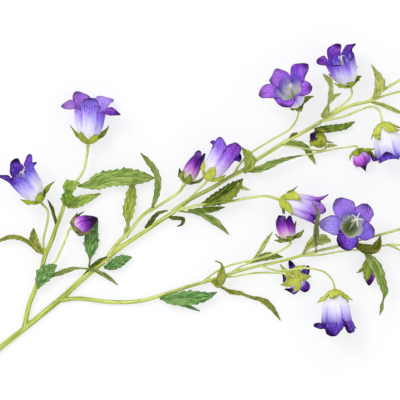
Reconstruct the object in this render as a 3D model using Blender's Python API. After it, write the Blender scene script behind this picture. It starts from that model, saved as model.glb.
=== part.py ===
"""A cut campanula stem with ten open bells and eight buds, lying on a table.

The part lies in the XY plane with +Z up. Plan places are read off the photograph of the stem,
in its 400 x 400 frame, as (across, down, height above the table in millimetres).
"""

import math
import random

import bpy
import numpy as np

MM = 0.001
PIXEL = 0.8 * MM  # what one pixel of the photograph spans at table height
EYE_HEIGHT = 2.2  # metres from the table to the eye that sees the photograph
FRAME_MIDDLE = 200  # pixel column and row under the eye
PLAN_CENTRE = (-27.35 * MM, -33.3 * MM)  # the origin's place on the table, from under the eye

GAP = 0.35 * MM  # clearance between touching pieces
BLADE = 0.8 * MM  # thickness of leaves, sepals and petals
STEM_SIDES = 6
STALK_SIDES = 5
STEM_RADIUS = 2.4  # of the main stem, in mm
STEM_REST = STEM_RADIUS * math.cos(math.pi / STEM_SIDES)  # its height when a flat side is down
SECTOR = math.radians(36)  # half the angle that one of five lobes takes
SMALL_LEAF_STATIONS = 7  # steps along a small leaf
STATION_SPACING = 9 * MM  # between pairs of steps along a large one
STALK_STEP = 10 * MM

# Bell of an open bloom, in mm along the axis and out from it, for a size of 1
BELL_START = 3.2 * MM  # middle of the corolla's closed end, from the end of the stalk
BELL = ((0.0, 0.0), (1.1, 3.8), (4.8, 7.0), (12.0, 10.2), (24.0, 11.8))
PETAL_COLUMNS = 4  # steps across each petal
LOBE_ROWS = 3  # steps along each lobe
# Furled bud, in shares of its length and of its radius
BUD_START = 3.0 * MM
BUD = ((0.0, 0.0), (0.05, 0.5), (0.25, 0.88), (0.5, 1.0), (0.75, 0.78), (0.92, 0.36), (1.0, 0.0))
BUD_TWIST = math.radians(50)

CALYX_OFFSET = 1.5 * MM  # from the middle of the petals to the middle of the calyx
CUP_SHARE = 0.27  # how far the cup reaches along the petals, as a share of their length
SEPAL = (10.5, 4.0, 2.3)  # length, how far the tip stands off and half the width, in mm, on a bloom
BUD_SEPAL_HALF = 1.84  # half the width of a bud's sepal, in mm
SEPAL_LIFT = 0.35 * MM  # by which a sepal stands off the cup

# Style and stigma, in mm: distance under the tip, then the radius at the arms and between them
STIGMA = ((4.0, 0.7, 0.7), (1.2, 2.9, 0.7), (0.2, 2.7, 0.6))
STYLE_FOOT = 1.3  # radius in mm
PISTIL_TOP = 23  # mm from the closed end of the bell, for a size of 1

LEAF_TOOTH = 0.09  # by which the teeth widen and narrow a leaf, as a share of its width
LEAF_WAVE = 0.07  # height of the waves along a leaf's edge, as a share of its width
LEAF_WAVES_PER_TOOTH = 0.7
STRAIGHT_END = 3.0 * MM  # the last stretch of a stalk, in line with its bloom

# Routes of the stem, thickest first
STEMS = {
    "main": (STEM_RADIUS, STEM_RADIUS, [
        (-112, 438.5, STEM_REST), (0, 348, STEM_REST), (60, 299.5, STEM_REST), (80, 281, 3.5),
        (96, 267.5, 4.5), (109, 258, 5)]),
    "left": (2.1, 1.7, [
        (24, 328, 2.2), (29, 305, 3.5), (35, 290, 5), (41, 272, 6.5), (45, 256, 7.5), (52, 240, 8.5),
        (57, 225, 9), (63, 209, 9.5), (66, 200, 10)]),
    "lower": (1.9, 1.2, [
        (57, 301, 2.2), (80, 298.5, 2.8), (110, 302, 3), (140, 301, 3.5), (170, 292.5, 4.5),
        (190, 286, 5.5),
        (208, 281, 6.5), (229, 274, 8), (250, 268, 9), (275, 262.5, 9), (302, 255.5, 9)]),
    "upper": (1.9, 1.5, [
        (105, 260.5, 5), (120, 248, 5.5), (140, 234.5, 6), (160, 221, 6.5), (175, 211, 7),
        (190, 199.5, 7.5),
        (210, 189, 8), (230, 177, 8.5), (242, 171, 9), (256, 160, 9), (270, 151.5, 9), (285, 142, 9.5),
        (300, 134, 10), (317, 124, 10), (330, 116, 10), (350, 106, 10), (371, 101, 10)]),
    "upper_end": (1.3, 1.1, [(368, 101.5, 10), (385, 89, 10.5), (400, 80, 11), (424, 66, 12)]),
    "upper_fork": (1.1, 0.9, [(370, 101.5, 10), (385, 95.5, 10.5), (400, 91.5, 11), (416, 88, 11)]),
    "lower_end": (1.3, 1.1, [
        (298, 256.5, 9), (320, 250.5, 6), (337, 246.5, 4), (355, 241, 4), (370, 237.5, 5), (390, 232, 8),
        (424, 223, 12)]),
    "lower_fork": (1.1, 0.9, [(350, 242.5, 4), (366, 245, 6), (380, 246, 8), (392, 244.5, 9),
                              (410, 246, 10)]),
    "lower_twig": (0.9, 0.8, [(388, 244.9, 9), (400, 250, 9.5), (411, 257, 9)]),
    "leaf_twig": (0.9, 0.8, [(230, 273.5, 8), (240, 267, 10), (252, 262, 11)]),
}
# Stalks of the blooms and buds; each ends at the base of its bloom
STALKS = {
    "f1": (1.15, [(66, 202, 10), (75, 184, 10.2), (83, 172, 10.7), (86.5, 158, 12), (88, 146, 13.2)]),
    "f2": (1.0, [(45, 257, 7.5), (43.5, 240, 11), (47.5, 222, 15), (48, 211, 18), (42, 203.5, 19)]),
    "f5": (0.95, [(171, 211, 7), (190, 197.5, 12), (200, 188, 17), (206, 182, 20)]),
    "f6": (0.95, [(232, 176, 8.5), (247, 156, 8.5), (270, 141, 7.5), (288, 130.5, 6), (297, 119, 5),
                  (298.5, 106.5, 9)]),
    "f7": (0.9, [(320, 122, 10), (335, 110, 10), (347, 101.5, 11), (352, 94, 13), (351, 88, 15)]),
    "f8": (0.95, [(322, 121.5, 10), (345, 116, 11), (362, 109, 14), (371, 106.5, 19),
                  (378.5, 109.5, 23.5), (382, 120, 25)]),
    "f11": (1.15, [(176, 211, 7.2), (200, 205, 10), (225, 202.5, 13), (250, 197.5, 15),
                   (265, 196, 16), (277.5, 199, 16)]),
    "f12": (0.95, [(337, 246.5, 4), (343, 241, 3), (349, 234, 3.5), (350, 229, 8)]),
    "f14": (0.9, [(222, 276.5, 7.5), (235, 276.5, 11), (250, 273.5, 16), (270, 272.5, 21.5),
                  (284, 273.5, 24), (293, 276, 19.5)]),
    "f15": (0.9, [
        (260, 265.5, 9), (272, 269.5, 14), (282, 271, 21), (292, 269.5, 27), (305, 268, 28.5),
        (322, 271, 27),
        (331, 278, 23), (334.5, 287, 18.6)]),
    "b3": (1.0, [(41.5, 271, 6.5), (54, 263, 9), (61, 250, 12), (65, 238, 14), (72, 227, 14)]),
    "b4": (1.3, [
        (105, 261, 5), (118, 243, 6.5), (130, 231, 7.5), (141, 217, 7.7), (160, 205, 7.6), (178, 193, 7.6),
        (184, 184.5, 7.6)]),
    "b9": (0.75, [
        (244, 171, 9), (262, 165.5, 8), (285, 159, 7.5), (312, 153.8, 8), (335, 149, 10), (349, 146.3, 9.5),
        (359.5, 149, 8.3)]),
    "b10": (0.8, [(281, 145, 9.5), (295, 146.5, 10), (310, 149.5, 10), (321, 151, 9), (324.5, 146, 12)]),
    "b13": (0.95, [(201, 283, 6.3), (218, 270.5, 9), (235, 264, 11), (258, 258.5, 12), (278, 252, 12),
                   (290, 243, 12)]),
    "b16": (0.8, [(300, 256, 9), (320, 255, 7), (340, 251.5, 6), (356, 250, 8), (368, 250, 8),
                  (371, 256, 8)]),
    "e1": (0.9, [(410, 74, 11.4), (418, 69.5, 11.8), (425, 66, 12)]),
    "e2": (0.9, [(410, 226.5, 10.3), (418, 224.5, 11.2), (425, 223, 12)]),
}
# Open blooms: (across, down) that the axis points at, its rise and roll in degrees, size, then for
# each of the five lobes its length in mm and how far it bends out, in degrees
BLOOMS = {
    "f1": ((91, 105), 8, 18, 1.03, ((15, 95), (14, 75), (15, 108), (15, 55), (15, 50))),
    "f2": ((21, 167), 20, -10, 1.0, ((13, 80), (12, 90), (12, 80), (13.5, 50), (13, 55))),
    "f5": ((229, 145), 12, 0, 0.97, ((11, 70), (12, 60), (12, 70), (12, 65), (12, 70))),
    "f6": ((286, 87), 52, -20, 0.92, ((16, 88), (14, 90), (15, 88), (16.5, 85), (13, 85))),
    "f7": ((338, 57), 27, -4, 0.92, ((10, 75), (10, 65), (9.5, 105), (10.5, 50), (11, 75))),
    "f8": ((392, 157), -3, 36, 1.0, ((12, 95), (12, 95), (9, 80), (12, 95), (12, 95))),
    "f11": ((322, 209), -3, 36, 0.96, ((12.5, 35), (12, 55), (12.5, 60), (12, 55), (12.5, 35))),
    "f12": ((351, 225), 84, 19, 0.92, ((18, 88), (12.5, 88), (14, 88), (15, 88), (15, 88))),
    "f14": ((299, 283), -75, 0, 0.72, ((9.5, 50), (9.5, 50), (10.5, 50), (10, 50), (9.5, 50))),
    "f15": ((336, 325), 0, 32, 0.98, ((12, 65), (12.5, 65), (12, 92), (12, 65), (12, 65))),
}
# Buds: (across, down) that the axis points at, rise in degrees, then length, radius, length of the
# sepals and how far their tips stand off, in mm
BUDS = {
    "b3": ((97, 219), 0, 18.5, 6.6, 5.5, 1.5),
    "b4": ((201, 153), 5, 25.5, 5.9, 7.5, 2.0),
    "b9": ((366, 171), 0, 18.0, 6.4, 6.0, 2.5),
    "b10": ((311, 135), 30, 12.5, 4.6, 7.0, 4.0),
    "b13": ((283, 217), 5, 19.0, 6.5, 7.0, 3.0),
    "b16": ((369, 286), 0, 21.0, 4.4, 13.0, 0.8),
    "e1": ((441, 58), 3, 15.0, 4.8, 6.0, 1.5),
    "e2": ((441, 218), 3, 15.0, 4.8, 6.0, 1.5),
}
# Leaves: route, widths in mm along it, fold and roll in degrees, and teeth on a side
BIG_LEAVES = {
    "leaf_01": ([(77.8, 186.2, 10.8), (90, 184.5, 9.5), (105, 179.5, 9.5), (125, 177, 10.5),
                 (142, 177.5, 10.5), (155, 178, 11)],
                (1.5, 6, 12.5, 13, 13, 14, 12, 8, 0.6), 12, 5, 5),
    "leaf_02": ([(67.6, 207.6, 9.2), (75, 203, 5.5), (86, 199, 4.5), (101, 193.5, 4)],
                (1.5, 8, 8.5, 7, 4, 0.6), 15, 0, 3),
    "leaf_03": ([(127, 229.5, 8), (128, 219, 7), (129, 209, 6.5), (130.5, 200, 6), (132, 190, 5),
                 (133, 182, 4.5)],
                (1.6, 2.4, 8, 9.5, 8.5, 6, 0.6), 14, 0, 4),
    "leaf_04": ([(152.3, 207.6, 9.6), (156.5, 195, 15.5), (158, 180, 19), (154, 169, 20),
                 (147, 160, 20), (140.5, 153, 19)],
                (1.5, 4, 4.8, 5, 4.5, 4, 0.6), 10, 30, 4),
    "leaf_05": ([(89, 267, 5), (90, 259, 4.5), (91, 248, 4), (92, 237, 3.5), (95, 228, 3.2), (98, 220, 3)],
                (1.5, 1.8, 8, 12, 10, 5, 0.6), 10, 0, 4),
    "leaf_06": ([(37.5, 279, 9.5), (43, 275, 9.6), (50, 271, 9.6), (57, 266, 9.3)],
                (8, 12.5, 10, 5, 0.6), 5, 4, 3),
    "leaf_07": ([(104, 267.6, 4.6), (112, 265.5, 6), (122, 260, 5), (132, 257, 4)],
                (2, 6, 9, 6, 0.6), 14, 0, 3),
    "leaf_08": ([(160, 298.7, 5.9), (178, 299, 8), (196, 297.5, 9), (208, 296, 8), (217, 292, 7)],
                (1.5, 8, 11, 12, 10, 6, 0.6), 14, 0, 5),
    "leaf_09": ([(214.5, 283.2, 7.6), (230, 291.5, 8), (240, 293, 7), (250, 297, 5.5), (262, 300, 4),
                 (272, 308, 2.5), (280.5, 320.5, 2)],
                (1.6, 2.2, 4.2, 2.2, 3.2, 4.8, 3.5, 0.6), 8, 10, 5),
    "leaf_10": ([(373, 98, 12.3), (377.5, 92, 13.5), (380, 85, 14.5), (378, 76, 15),
                 (374.5, 69.5, 14.5), (371, 64.5, 13)],
                (1.6, 6.5, 8.5, 6.5, 3, 0.6), 15, 5, 4),
    "leaf_11": ([(314.3, 129.4, 8.6), (325, 129, 6.5), (336, 128, 5.5), (346, 126, 5), (355, 121.5, 4.5)],
                (2, 5, 6, 5.5, 4.5, 0.6), 12, 0, 4),
    "leaf_12": ([(364.4, 252.6, 10.6), (369, 260, 17), (375, 270, 19), (380, 283, 18), (384, 297, 15),
                 (382.5, 305, 14), (380, 315, 12)],
                (1.2, 3, 7, 8, 6.5, 2.5, 2, 0.6), 14, 10, 5),
    "leaf_13": ([(322.6, 117.7, 12.1), (327, 110, 15), (328.5, 103, 16), (331, 93, 16), (330, 82, 16),
                 (323, 74, 15)],
                (3.5, 5, 1.6, 4.5, 4, 3, 0.6), 10, 5, 4),
}
# The leaflet on the side of one of them
SIDE_LEAFLET = ([(329.5, 103, 16), (334.5, 96.5, 16.5), (341, 93.5, 15)], (1.5, 3, 2.6, 0.6), 8, 0, 2)
SMALL_LEAVES = {
    "w": ([(66, 205, 11), (68.5, 198, 14), (71, 190, 15.5), (79, 183, 15)], (3, 9, 11, 6, 0.6), -6, 5, 2),
    "thin": ([(41, 279, 6), (57, 274, 6), (75, 268.5, 8), (93, 270, 8.5), (107, 276.5, 8), (118, 285, 6)],
             (1.5, 3.2, 4, 1.5, 2.5, 3.5, 0.6), 5, 5, 3),
    "dark": ([(57, 228, 9), (54.5, 217, 11.5), (51.5, 207, 13), (47.5, 199.5, 14)],
             (1.5, 2.4, 2.6, 0.6), 5, 5, 2),
    "l9": ([(82, 278, 4), (90, 268.5, 6.5), (98, 261.5, 8), (107, 256.5, 8.5)],
           (1.5, 2.4, 3, 0.6), 5, 10, 2),
    "d": ([(237, 184, 15), (243, 188, 14), (250, 190, 13)], (3, 3, 0.6), 5, 0, 2),
    "left_1": ([(45, 255, 8), (38, 248, 10), (34, 240, 10), (33.5, 228, 9)],
               (1.5, 5.5, 7, 6, 0.6), 15, 0, 2),
    "left_2": ([(36, 250, 9.5), (28, 242, 9), (18, 237.5, 8), (8, 237.5, 7), (-5, 243, 6)],
               (1.5, 3, 3.6, 3.6, 3, 0.6), 10, 10, 3),
    "l10": ([(145, 228, 7), (151, 221.5, 8.5), (158, 213.5, 9.5), (168, 210.5, 9)],
            (1.5, 3.5, 3.6, 2.5, 0.6), 5, 20, 2),
    "l11": ([(166, 216.5, 7), (174, 218, 9), (183, 219, 9.5), (182, 224, 8), (177, 226.5, 7)],
            (1.2, 3, 3.2, 2.6, 0.6), 5, 10, 2),
    "a": ([(188, 210.5, 8), (200, 210.5, 7), (212, 209.5, 6), (225, 207, 5.5)],
          (1.5, 4, 5, 4, 0.6), 10, 0, 3),
    "b": ([(179, 211, 7.2), (195, 213, 9), (207, 217, 10), (217, 223, 10), (229, 234.5, 8)],
          (1.2, 1.6, 3, 6, 4, 0.6), 10, 0, 3),
    "c": ([(202, 205, 10.3), (213, 200.5, 13), (225, 195, 15), (235, 187, 15), (243, 178.5, 13)],
          (3, 9, 12, 10, 0.6), 15, -12, 3),
    "e": ([(244, 173, 9.5), (249.5, 165, 12), (249, 157, 10), (242, 147.5, 7.5)],
          (2, 7.5, 8, 5, 0.6), 10, 5, 2),
    "f": ([(246, 171.5, 9.5), (258, 170, 12), (268, 165.5, 13), (281, 160.5, 13), (302, 155, 12)],
          (1.5, 4, 6, 4, 2.5, 0.6), 10, 0, 4),
    "g": ([(285, 143.5, 9.5), (297, 143.5, 8), (306, 148, 6), (311, 156, 5), (315.5, 164.5, 4.5)],
          (2, 4.5, 5, 4.5, 0.6), 10, 0, 3),
    "l": ([(371, 102, 10), (381, 104.5, 11), (392, 109, 11), (404, 115, 10)],
          (1.5, 3, 3.5, 3, 0.6), 8, 10, 2),
    "m": ([(316, 253, 6.6), (316, 238, 21), (317, 222, 32.5), (318.5, 213, 35.5), (312, 202, 36)],
          (1.5, 5, 1.6, 4.5, 0.6), 8, 10, 3),
    "q": ([(302, 255, 9), (309, 246, 12), (319, 239.5, 13), (331, 241, 12)],
          (1.5, 2.5, 5.5, 0.8), 10, 0, 2),
    "r1": ([(251, 262.5, 11), (259, 253, 13), (265, 243, 14), (272.5, 232, 14)],
           (1.5, 2.8, 3.4, 0.6), 8, 10, 2),
    "r2": ([(250, 263, 11), (261, 258, 9), (270, 256, 8.5), (283, 257, 8)], (1.5, 5.5, 6, 0.6), 8, 0, 2),
    "n": ([(211, 281, 6.5), (219, 282, 13), (222, 273, 14), (221.5, 264, 14), (215, 261, 13)],
          (2, 8, 7, 2, 0.8), 12, 0, 2),
    "o": ([(352, 243, 4.2), (360, 247.5, 8), (371, 250, 10), (379, 246, 11), (381.5, 236, 10)],
          (2, 5, 7.5, 7, 0.8), 12, 0, 3),
    "t": ([(172, 292.5, 4.6), (176, 302, 6), (186, 305.5, 6), (200, 311, 4)], (1.5, 2.5, 3, 0.6), 5, 0, 2),
    "end_1": ([(414, 88.5, 11), (424, 86, 11.5), (436, 89, 11)], (1.2, 5, 5, 0.6), 12, 0, 2),
    "end_2": ([(408, 246, 10), (420, 246, 11), (432, 250, 10.5)], (1.2, 5, 5, 0.6), 12, 0, 2),
    "end_3": ([(409, 256, 9), (417, 262, 9), (424, 272, 8)], (1.2, 4.5, 4.5, 0.6), 12, 0, 2),
}

COLOURS = {
    "stem": (0.36, 0.46, 0.08),
    "leaf": (0.16, 0.32, 0.08),
    "calyx": (0.38, 0.47, 0.05),
    "petal": (0.16, 0.06, 0.42),
    "bud": (0.3, 0.07, 0.4),
    "pistil": (0.85, 0.85, 0.76),
}


def place(point):
    """The point in metres, with the shrinking of the view with height undone."""
    across, down, height = point
    z = height * MM
    scale = PIXEL * (EYE_HEIGHT - z) / EYE_HEIGHT
    x = (across - FRAME_MIDDLE) * scale - PLAN_CENTRE[0]
    y = (FRAME_MIDDLE - down) * scale - PLAN_CENTRE[1]
    return np.array([x, y, z])


def unit(vector):
    return vector / np.linalg.norm(vector, axis=-1, keepdims=True)


def smooth_curve(points, count):
    """Points at even steps along a smooth curve through the given ones."""
    points = np.array(points, float)
    ends = np.vstack([2 * points[0] - points[1], points, 2 * points[-1] - points[-2]])
    dense = []
    for i in range(len(points) - 1):
        a, b, c, d = ends[i:i + 4]
        for t in np.linspace(0, 1, 24, endpoint=False):
            dense.append(0.5 * (2 * b + (c - a) * t + (2 * a - 5 * b + 4 * c - d) * t ** 2
                                + (3 * b - a - 3 * c + d) * t ** 3))
    dense = np.array(dense + [points[-1]])
    along = np.concatenate([[0], np.cumsum(np.linalg.norm(np.diff(dense, axis=0), axis=1))])
    wanted = np.linspace(0, along[-1], count)
    return np.array([np.interp(wanted, along, axis) for axis in dense.T]).T


def settle(points):
    """Petals and leaves that would reach below the table lie flat on it instead."""
    lowest = BLADE / 2 + 0.05 * MM
    bend = lowest + 2 * MM
    z = points[..., 2]
    pressed = lowest + (bend - lowest) * np.exp((z - bend) / (bend - lowest))
    points[..., 2] = np.where(z < bend, pressed, z)
    return points


def grid_triangles(index):
    """Two triangles for each cell of a grid of vertex numbers, leaving out flat ones."""
    triangles = []
    for row, above in zip(index[:-1], index[1:]):
        for a, b, c, d in zip(row[:-1], row[1:], above[1:], above[:-1]):
            for triangle in ((a, b, c), (a, c, d)):
                if len(set(triangle)) == 3:
                    triangles.append(triangle)
    return triangles


def thicken(points, triangles, outward, inward):
    """A closed solid around a surface: outward and inward are distances from it at each point."""
    points = np.array(points)
    triangles = np.array(triangles)
    corners = points[triangles]
    across = np.cross(corners[:, 1] - corners[:, 0], corners[:, 2] - corners[:, 0])
    normals = np.zeros_like(points)
    for corner in range(3):
        np.add.at(normals, triangles[:, corner], across)
    normals = unit(normals)
    outer = points + normals * np.broadcast_to(outward, len(points))[:, None]
    inner = points - normals * np.broadcast_to(inward, len(points))[:, None]
    count = len(points)
    faces = [tuple(t) for t in triangles] + [tuple(t[::-1] + count) for t in triangles]
    edges = {(t[i], t[(i + 1) % 3]) for t in triangles for i in range(3)}
    for a, b in sorted(edges):
        if (b, a) not in edges:
            faces += [(b, a, a + count), (b, a + count, b + count)]
    return np.vstack([outer, inner]), faces


def tube(points, radii, sides):
    """A round rod along the points, with flat ends and a flat side down."""
    strides = unit(np.diff(points, axis=0))
    tangents = unit(np.vstack([strides[:1], strides[:-1] + strides[1:], strides[-1:]]))
    side = unit(np.cross(tangents[0], (0, 0, 1)))
    vertices = []
    for point, tangent, radius in zip(points, tangents, radii):
        side = unit(side - tangent * np.dot(side, tangent))
        down = np.cross(tangent, side)
        for k in range(sides):
            angle = (k + 0.5) * 2 * math.pi / sides
            vertices.append(point + radius * (math.cos(angle) * down + math.sin(angle) * side))
    faces = []
    for ring in range(len(points) - 1):
        for k in range(sides):
            a, b = ring * sides + k, ring * sides + (k + 1) % sides
            faces += [(a, b, b + sides), (a, b + sides, a + sides)]
    last = (len(points) - 1) * sides
    faces.append(tuple(reversed(range(sides))))
    faces.append(tuple(last + k for k in range(sides)))
    return np.array(vertices), faces


def leaf(route, widths, fold, roll, teeth, stations):
    """A toothed, waved blade over its route. Its plan follows the widths; fold lifts its edges."""
    centre = smooth_curve([place(p) for p in route], stations)
    share = np.linspace(0, 1, stations)
    width = np.interp(share, np.linspace(0, 1, len(widths)), np.array(widths) * MM)
    tangents = unit(np.gradient(centre, axis=0)[:, :2])
    across = np.column_stack([-tangents[:, 1], tangents[:, 0], np.zeros(stations)])
    points = []
    for i in range(stations):
        bite = 1 + (LEAF_TOOTH if i % 2 else -LEAF_TOOTH)
        for side in (-1, 0, 1):
            offset = side * width[i] / 2 * (bite if side else 1)
            lift = abs(offset) * math.tan(math.radians(fold)) + offset * math.tan(math.radians(roll))
            wave = math.sin(2 * math.pi * teeth * share[i] * LEAF_WAVES_PER_TOOTH + side)
            lift += abs(side) * width[i] * LEAF_WAVE * wave
            points.append(centre[i] + across[i] * offset + np.array([0, 0, lift]))
    index = np.arange(stations * 3).reshape(stations, 3)
    points = settle(np.array(points))
    return thicken(points, grid_triangles(index[:, ::-1]), BLADE / 2, BLADE / 2)


def bloom_frame(base, target, rise, roll):
    """The base in metres and three directions: two across the bloom's axis, then the axis."""
    heading = np.array([target[0] - base[0], base[1] - target[1], 0.0])
    heading = unit(heading) * math.cos(math.radians(rise))
    axis = heading + np.array([0, 0, math.sin(math.radians(rise))])
    side = unit(np.cross((0, 0, 1), axis))
    top = np.cross(axis, side)
    turn = math.radians(roll)
    x = side * math.cos(turn) + top * math.sin(turn)
    y = top * math.cos(turn) - side * math.sin(turn)
    return place(base), np.array([x, y, axis])


def to_world(points, frame):
    base, axes = frame
    return settle(base + np.array(points) @ axes)


def bloom_axes(name):
    """The frame of an open bloom or a bud, which stands on the end of its stalk."""
    base = STALKS[name][1][-1]
    if name in BLOOMS:
        target, rise, roll = BLOOMS[name][:3]
        return bloom_frame(base, target, rise, roll)
    target, rise = BUDS[name][:2]
    return bloom_frame(base, target, rise, 0)


def body_profile(name):
    """Distances along and out from the axis, in metres, of the petals' wall near the calyx."""
    if name in BLOOMS:
        size = BLOOMS[name][3]
        return [(BELL_START + a * MM * size, r * MM * size) for a, r in BELL]
    length, radius = BUDS[name][2:4]
    return [(BUD_START + a * length * MM, r * radius * MM) for a, r in BUD]


def bent(share):
    """How much of its bend a lobe has made, at a share of its length."""
    return 1 - (1 - share) ** 1.6


def petal_lobes(size, shapes, rows, columns):
    """Lobes beyond the bell's mouth: for each, rows of points in the bloom's frame."""
    mouth = np.array(BELL[-1]) * MM * size
    slope = math.atan2(BELL[-1][1] - BELL[-2][1], BELL[-1][0] - BELL[-2][0])
    steps = 40
    lobes = []
    for k, (reach, flare) in enumerate(shapes):
        azimuth = k * 2 * SECTOR
        out = np.array([math.cos(azimuth), math.sin(azimuth), 0])
        along = np.array([-math.sin(azimuth), math.cos(azimuth), 0])
        share = (np.arange(steps) + 0.5) / steps
        bend = slope + math.radians(flare) * bent(share)
        stride = reach * MM / steps
        radius = mouth[1] + np.concatenate([[0], np.cumsum(np.sin(bend) * stride)])
        height = BELL_START + mouth[0] + np.concatenate([[0], np.cumsum(np.cos(bend) * stride)])
        lobe = []
        for row in range(1, rows + 1):
            t = row / rows
            spot = round(t * steps)
            angle = slope + math.radians(flare) * bent(t)
            curl = (1 - t) ** 1.5
            fill = (1 - t) ** 0.6 * (1 + 0.3 * t)
            half = radius[spot] * (math.sin(SECTOR) * curl + math.tan(SECTOR) * (1 - curl)) * fill
            normal = out * math.cos(angle) - np.array([0, 0, math.sin(angle)])
            spine = out * radius[spot] + np.array([0, 0, height[spot]])
            if row == rows:
                lobe.append([spine] * (columns + 1))
                continue
            line = []
            for u in np.linspace(-1, 1, columns + 1):
                side = half * math.sin(SECTOR * u) / math.sin(SECTOR)
                sag = curl * radius[spot] * (1 - math.cos(SECTOR * u))
                line.append(spine + along * side - normal * sag)
            lobe.append(line)
        lobes.append(lobe)
    return lobes


def lobed_cup(rings, lobes, columns, turn=0.0):
    """Surface of a cup closed at its foot with five lobes on its rim, as points and triangles."""
    around = 5 * columns
    points = [np.array([0, 0, rings[0][0]])]
    for a, r in rings[1:]:
        for i in range(around):
            angle = (i / columns) * 2 * SECTOR - SECTOR + turn
            points.append(np.array([r * math.cos(angle), r * math.sin(angle), a]))
    triangles = [(0, 1 + (i + 1) % around, 1 + i) for i in range(around)]
    for ring in range(len(rings) - 2):
        start = 1 + ring * around
        low = [start + i for i in range(around)] + [start]
        triangles += grid_triangles([low, [n + around for n in low]])
    rim = 1 + (len(rings) - 2) * around
    for k, lobe in enumerate(lobes):
        rows = [[rim + (k * columns + i) % around for i in range(columns + 1)]]
        for line in lobe[:-1]:
            rows.append(list(range(len(points), len(points) + columns + 1)))
            points += line
        rows.append([len(points)] * (columns + 1))
        points.append(lobe[-1][0])
        triangles += grid_triangles(rows)
    return points, triangles


def corolla(name):
    """One tube with five lobes, open at its mouth."""
    size, lobes = BLOOMS[name][3:]
    rings = [(BELL_START + a * MM * size, r * MM * size) for a, r in BELL]
    points, triangles = lobed_cup(rings, petal_lobes(size, lobes, LOBE_ROWS, PETAL_COLUMNS), PETAL_COLUMNS)
    return thicken(to_world(points, bloom_axes(name)), triangles, BLADE / 2, BLADE / 2)


def offset_profile(profile, count=60):
    """Finely spaced points of the profile and the directions straight out from it."""
    line = smooth_curve(profile, count)
    tangent = unit(np.gradient(line, axis=0))
    return line, np.column_stack([-tangent[:, 1], tangent[:, 0]])


def calyx(name, rng):
    """A green cup under the petals with five narrow sepals."""
    line, outward = offset_profile(body_profile(name))
    along = np.concatenate([[0], np.cumsum(np.linalg.norm(np.diff(line, axis=0), axis=1))])
    reach, stand_off, half_width = SEPAL if name in BLOOMS else (*BUDS[name][4:], BUD_SEPAL_HALF)
    rim = CUP_SHARE * along[-1]

    def wall(distance, lift):
        """Point of the wall's profile, pushed out by the lift."""
        spot = np.array([np.interp(distance, along, column) for column in (*line.T, *outward.T)])
        return spot[:2] + spot[2:] * lift

    rings = [(wall(0, CALYX_OFFSET)[0], 0.0)]
    for share in (0.6, 1.0):
        a, r = wall(rim * share, CALYX_OFFSET)
        rings.append((a, r / math.cos(SECTOR / 2)))
    lobes = []
    for k in range(5):
        azimuth = (2 * k + 1) * SECTOR
        out = np.array([math.cos(azimuth), math.sin(azimuth), 0])
        across = np.array([-math.sin(azimuth), math.cos(azimuth), 0])
        tip_lift = stand_off * MM * (0.6 + 0.8 * rng.random())
        length = reach * MM * (0.9 + 0.25 * rng.random())
        lobe = []
        for share, half in ((0.5, half_width * MM), (1.0, 0.0)):
            a, r = wall(rim + length * share, CALYX_OFFSET + SEPAL_LIFT + tip_lift * share ** 2)
            spine = out * r + np.array([0, 0, a])
            lobe.append([spine + across * half * u for u in (-1, 0, 1)])
        lobes.append(lobe)
    points, triangles = lobed_cup(rings, lobes, 2, SECTOR)
    outer = np.full(len(points), BLADE / 2)
    outer[0] = rings[0][0] - GAP
    outer[1:11] = BLADE
    return thicken(to_world(points, bloom_axes(name)), triangles, outer, BLADE / 2)


def pistil(name):
    """A slim style with a five-armed stigma, standing in the bell."""
    size = BLOOMS[name][3]
    foot = BELL_START + BLADE / 2 + 2 * GAP
    top = BELL_START + PISTIL_TOP * MM * size
    rings = [(foot, STYLE_FOOT, STYLE_FOOT)]
    rings += [(top - under * MM, wide, narrow) for under, wide, narrow in STIGMA]
    points = []
    for a, wide, narrow in rings:
        for i in range(10):
            r = (narrow if i % 2 else wide) * MM
            points.append((r * math.cos(i * SECTOR), r * math.sin(i * SECTOR), a))
    points.append((0, 0, top))
    faces = [tuple(reversed(range(10)))]
    for ring in range(3):
        for i in range(10):
            a, b = ring * 10 + i, ring * 10 + (i + 1) % 10
            faces += [(a, b, b + 10), (a, b + 10, a + 10)]
    faces += [(30 + i, 30 + (i + 1) % 10, 40) for i in range(10)]
    return to_world(points, bloom_axes(name)), faces


def bud(name):
    """Five petals furled into a ridged, twisted spindle."""
    length, radius = BUDS[name][2:4]
    points = [(0, 0, BUD_START)]
    for a, r in BUD[1:-1]:
        for i in range(10):
            angle = i * SECTOR + BUD_TWIST * a
            ridge = radius * MM * r * (1.05 if i % 2 else 0.93)
            points.append((ridge * math.cos(angle), ridge * math.sin(angle), BUD_START + a * length * MM))
    points.append((0, 0, BUD_START + length * MM))
    faces = [(0, 1 + (i + 1) % 10, 1 + i) for i in range(10)]
    for ring in range(len(BUD) - 3):
        for i in range(10):
            a, b = 1 + ring * 10 + i, 1 + ring * 10 + (i + 1) % 10
            faces += [(a, b, b + 10), (a, b + 10, a + 10)]
    last = 1 + (len(BUD) - 3) * 10
    faces += [(last + i, last + (i + 1) % 10, len(points) - 1) for i in range(10)]
    return to_world(points, bloom_axes(name)), faces


def add_object(name, solid, colour):
    mesh = bpy.data.meshes.new(name)
    mesh.from_pydata([tuple(v) for v in solid[0]], [], [tuple(int(i) for i in f) for f in solid[1]])
    material = bpy.data.materials.get(colour) or make_material(colour)
    mesh.materials.append(material)
    made = bpy.data.objects.new(name, mesh)
    bpy.context.scene.collection.objects.link(made)
    return made


def make_material(name):
    material = bpy.data.materials.new(name)
    material.use_nodes = True
    shader = material.node_tree.nodes["Principled BSDF"]
    shader.inputs["Base Color"].default_value = (*COLOURS[name], 1)
    shader.inputs["Roughness"].default_value = 0.6
    return material


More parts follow.
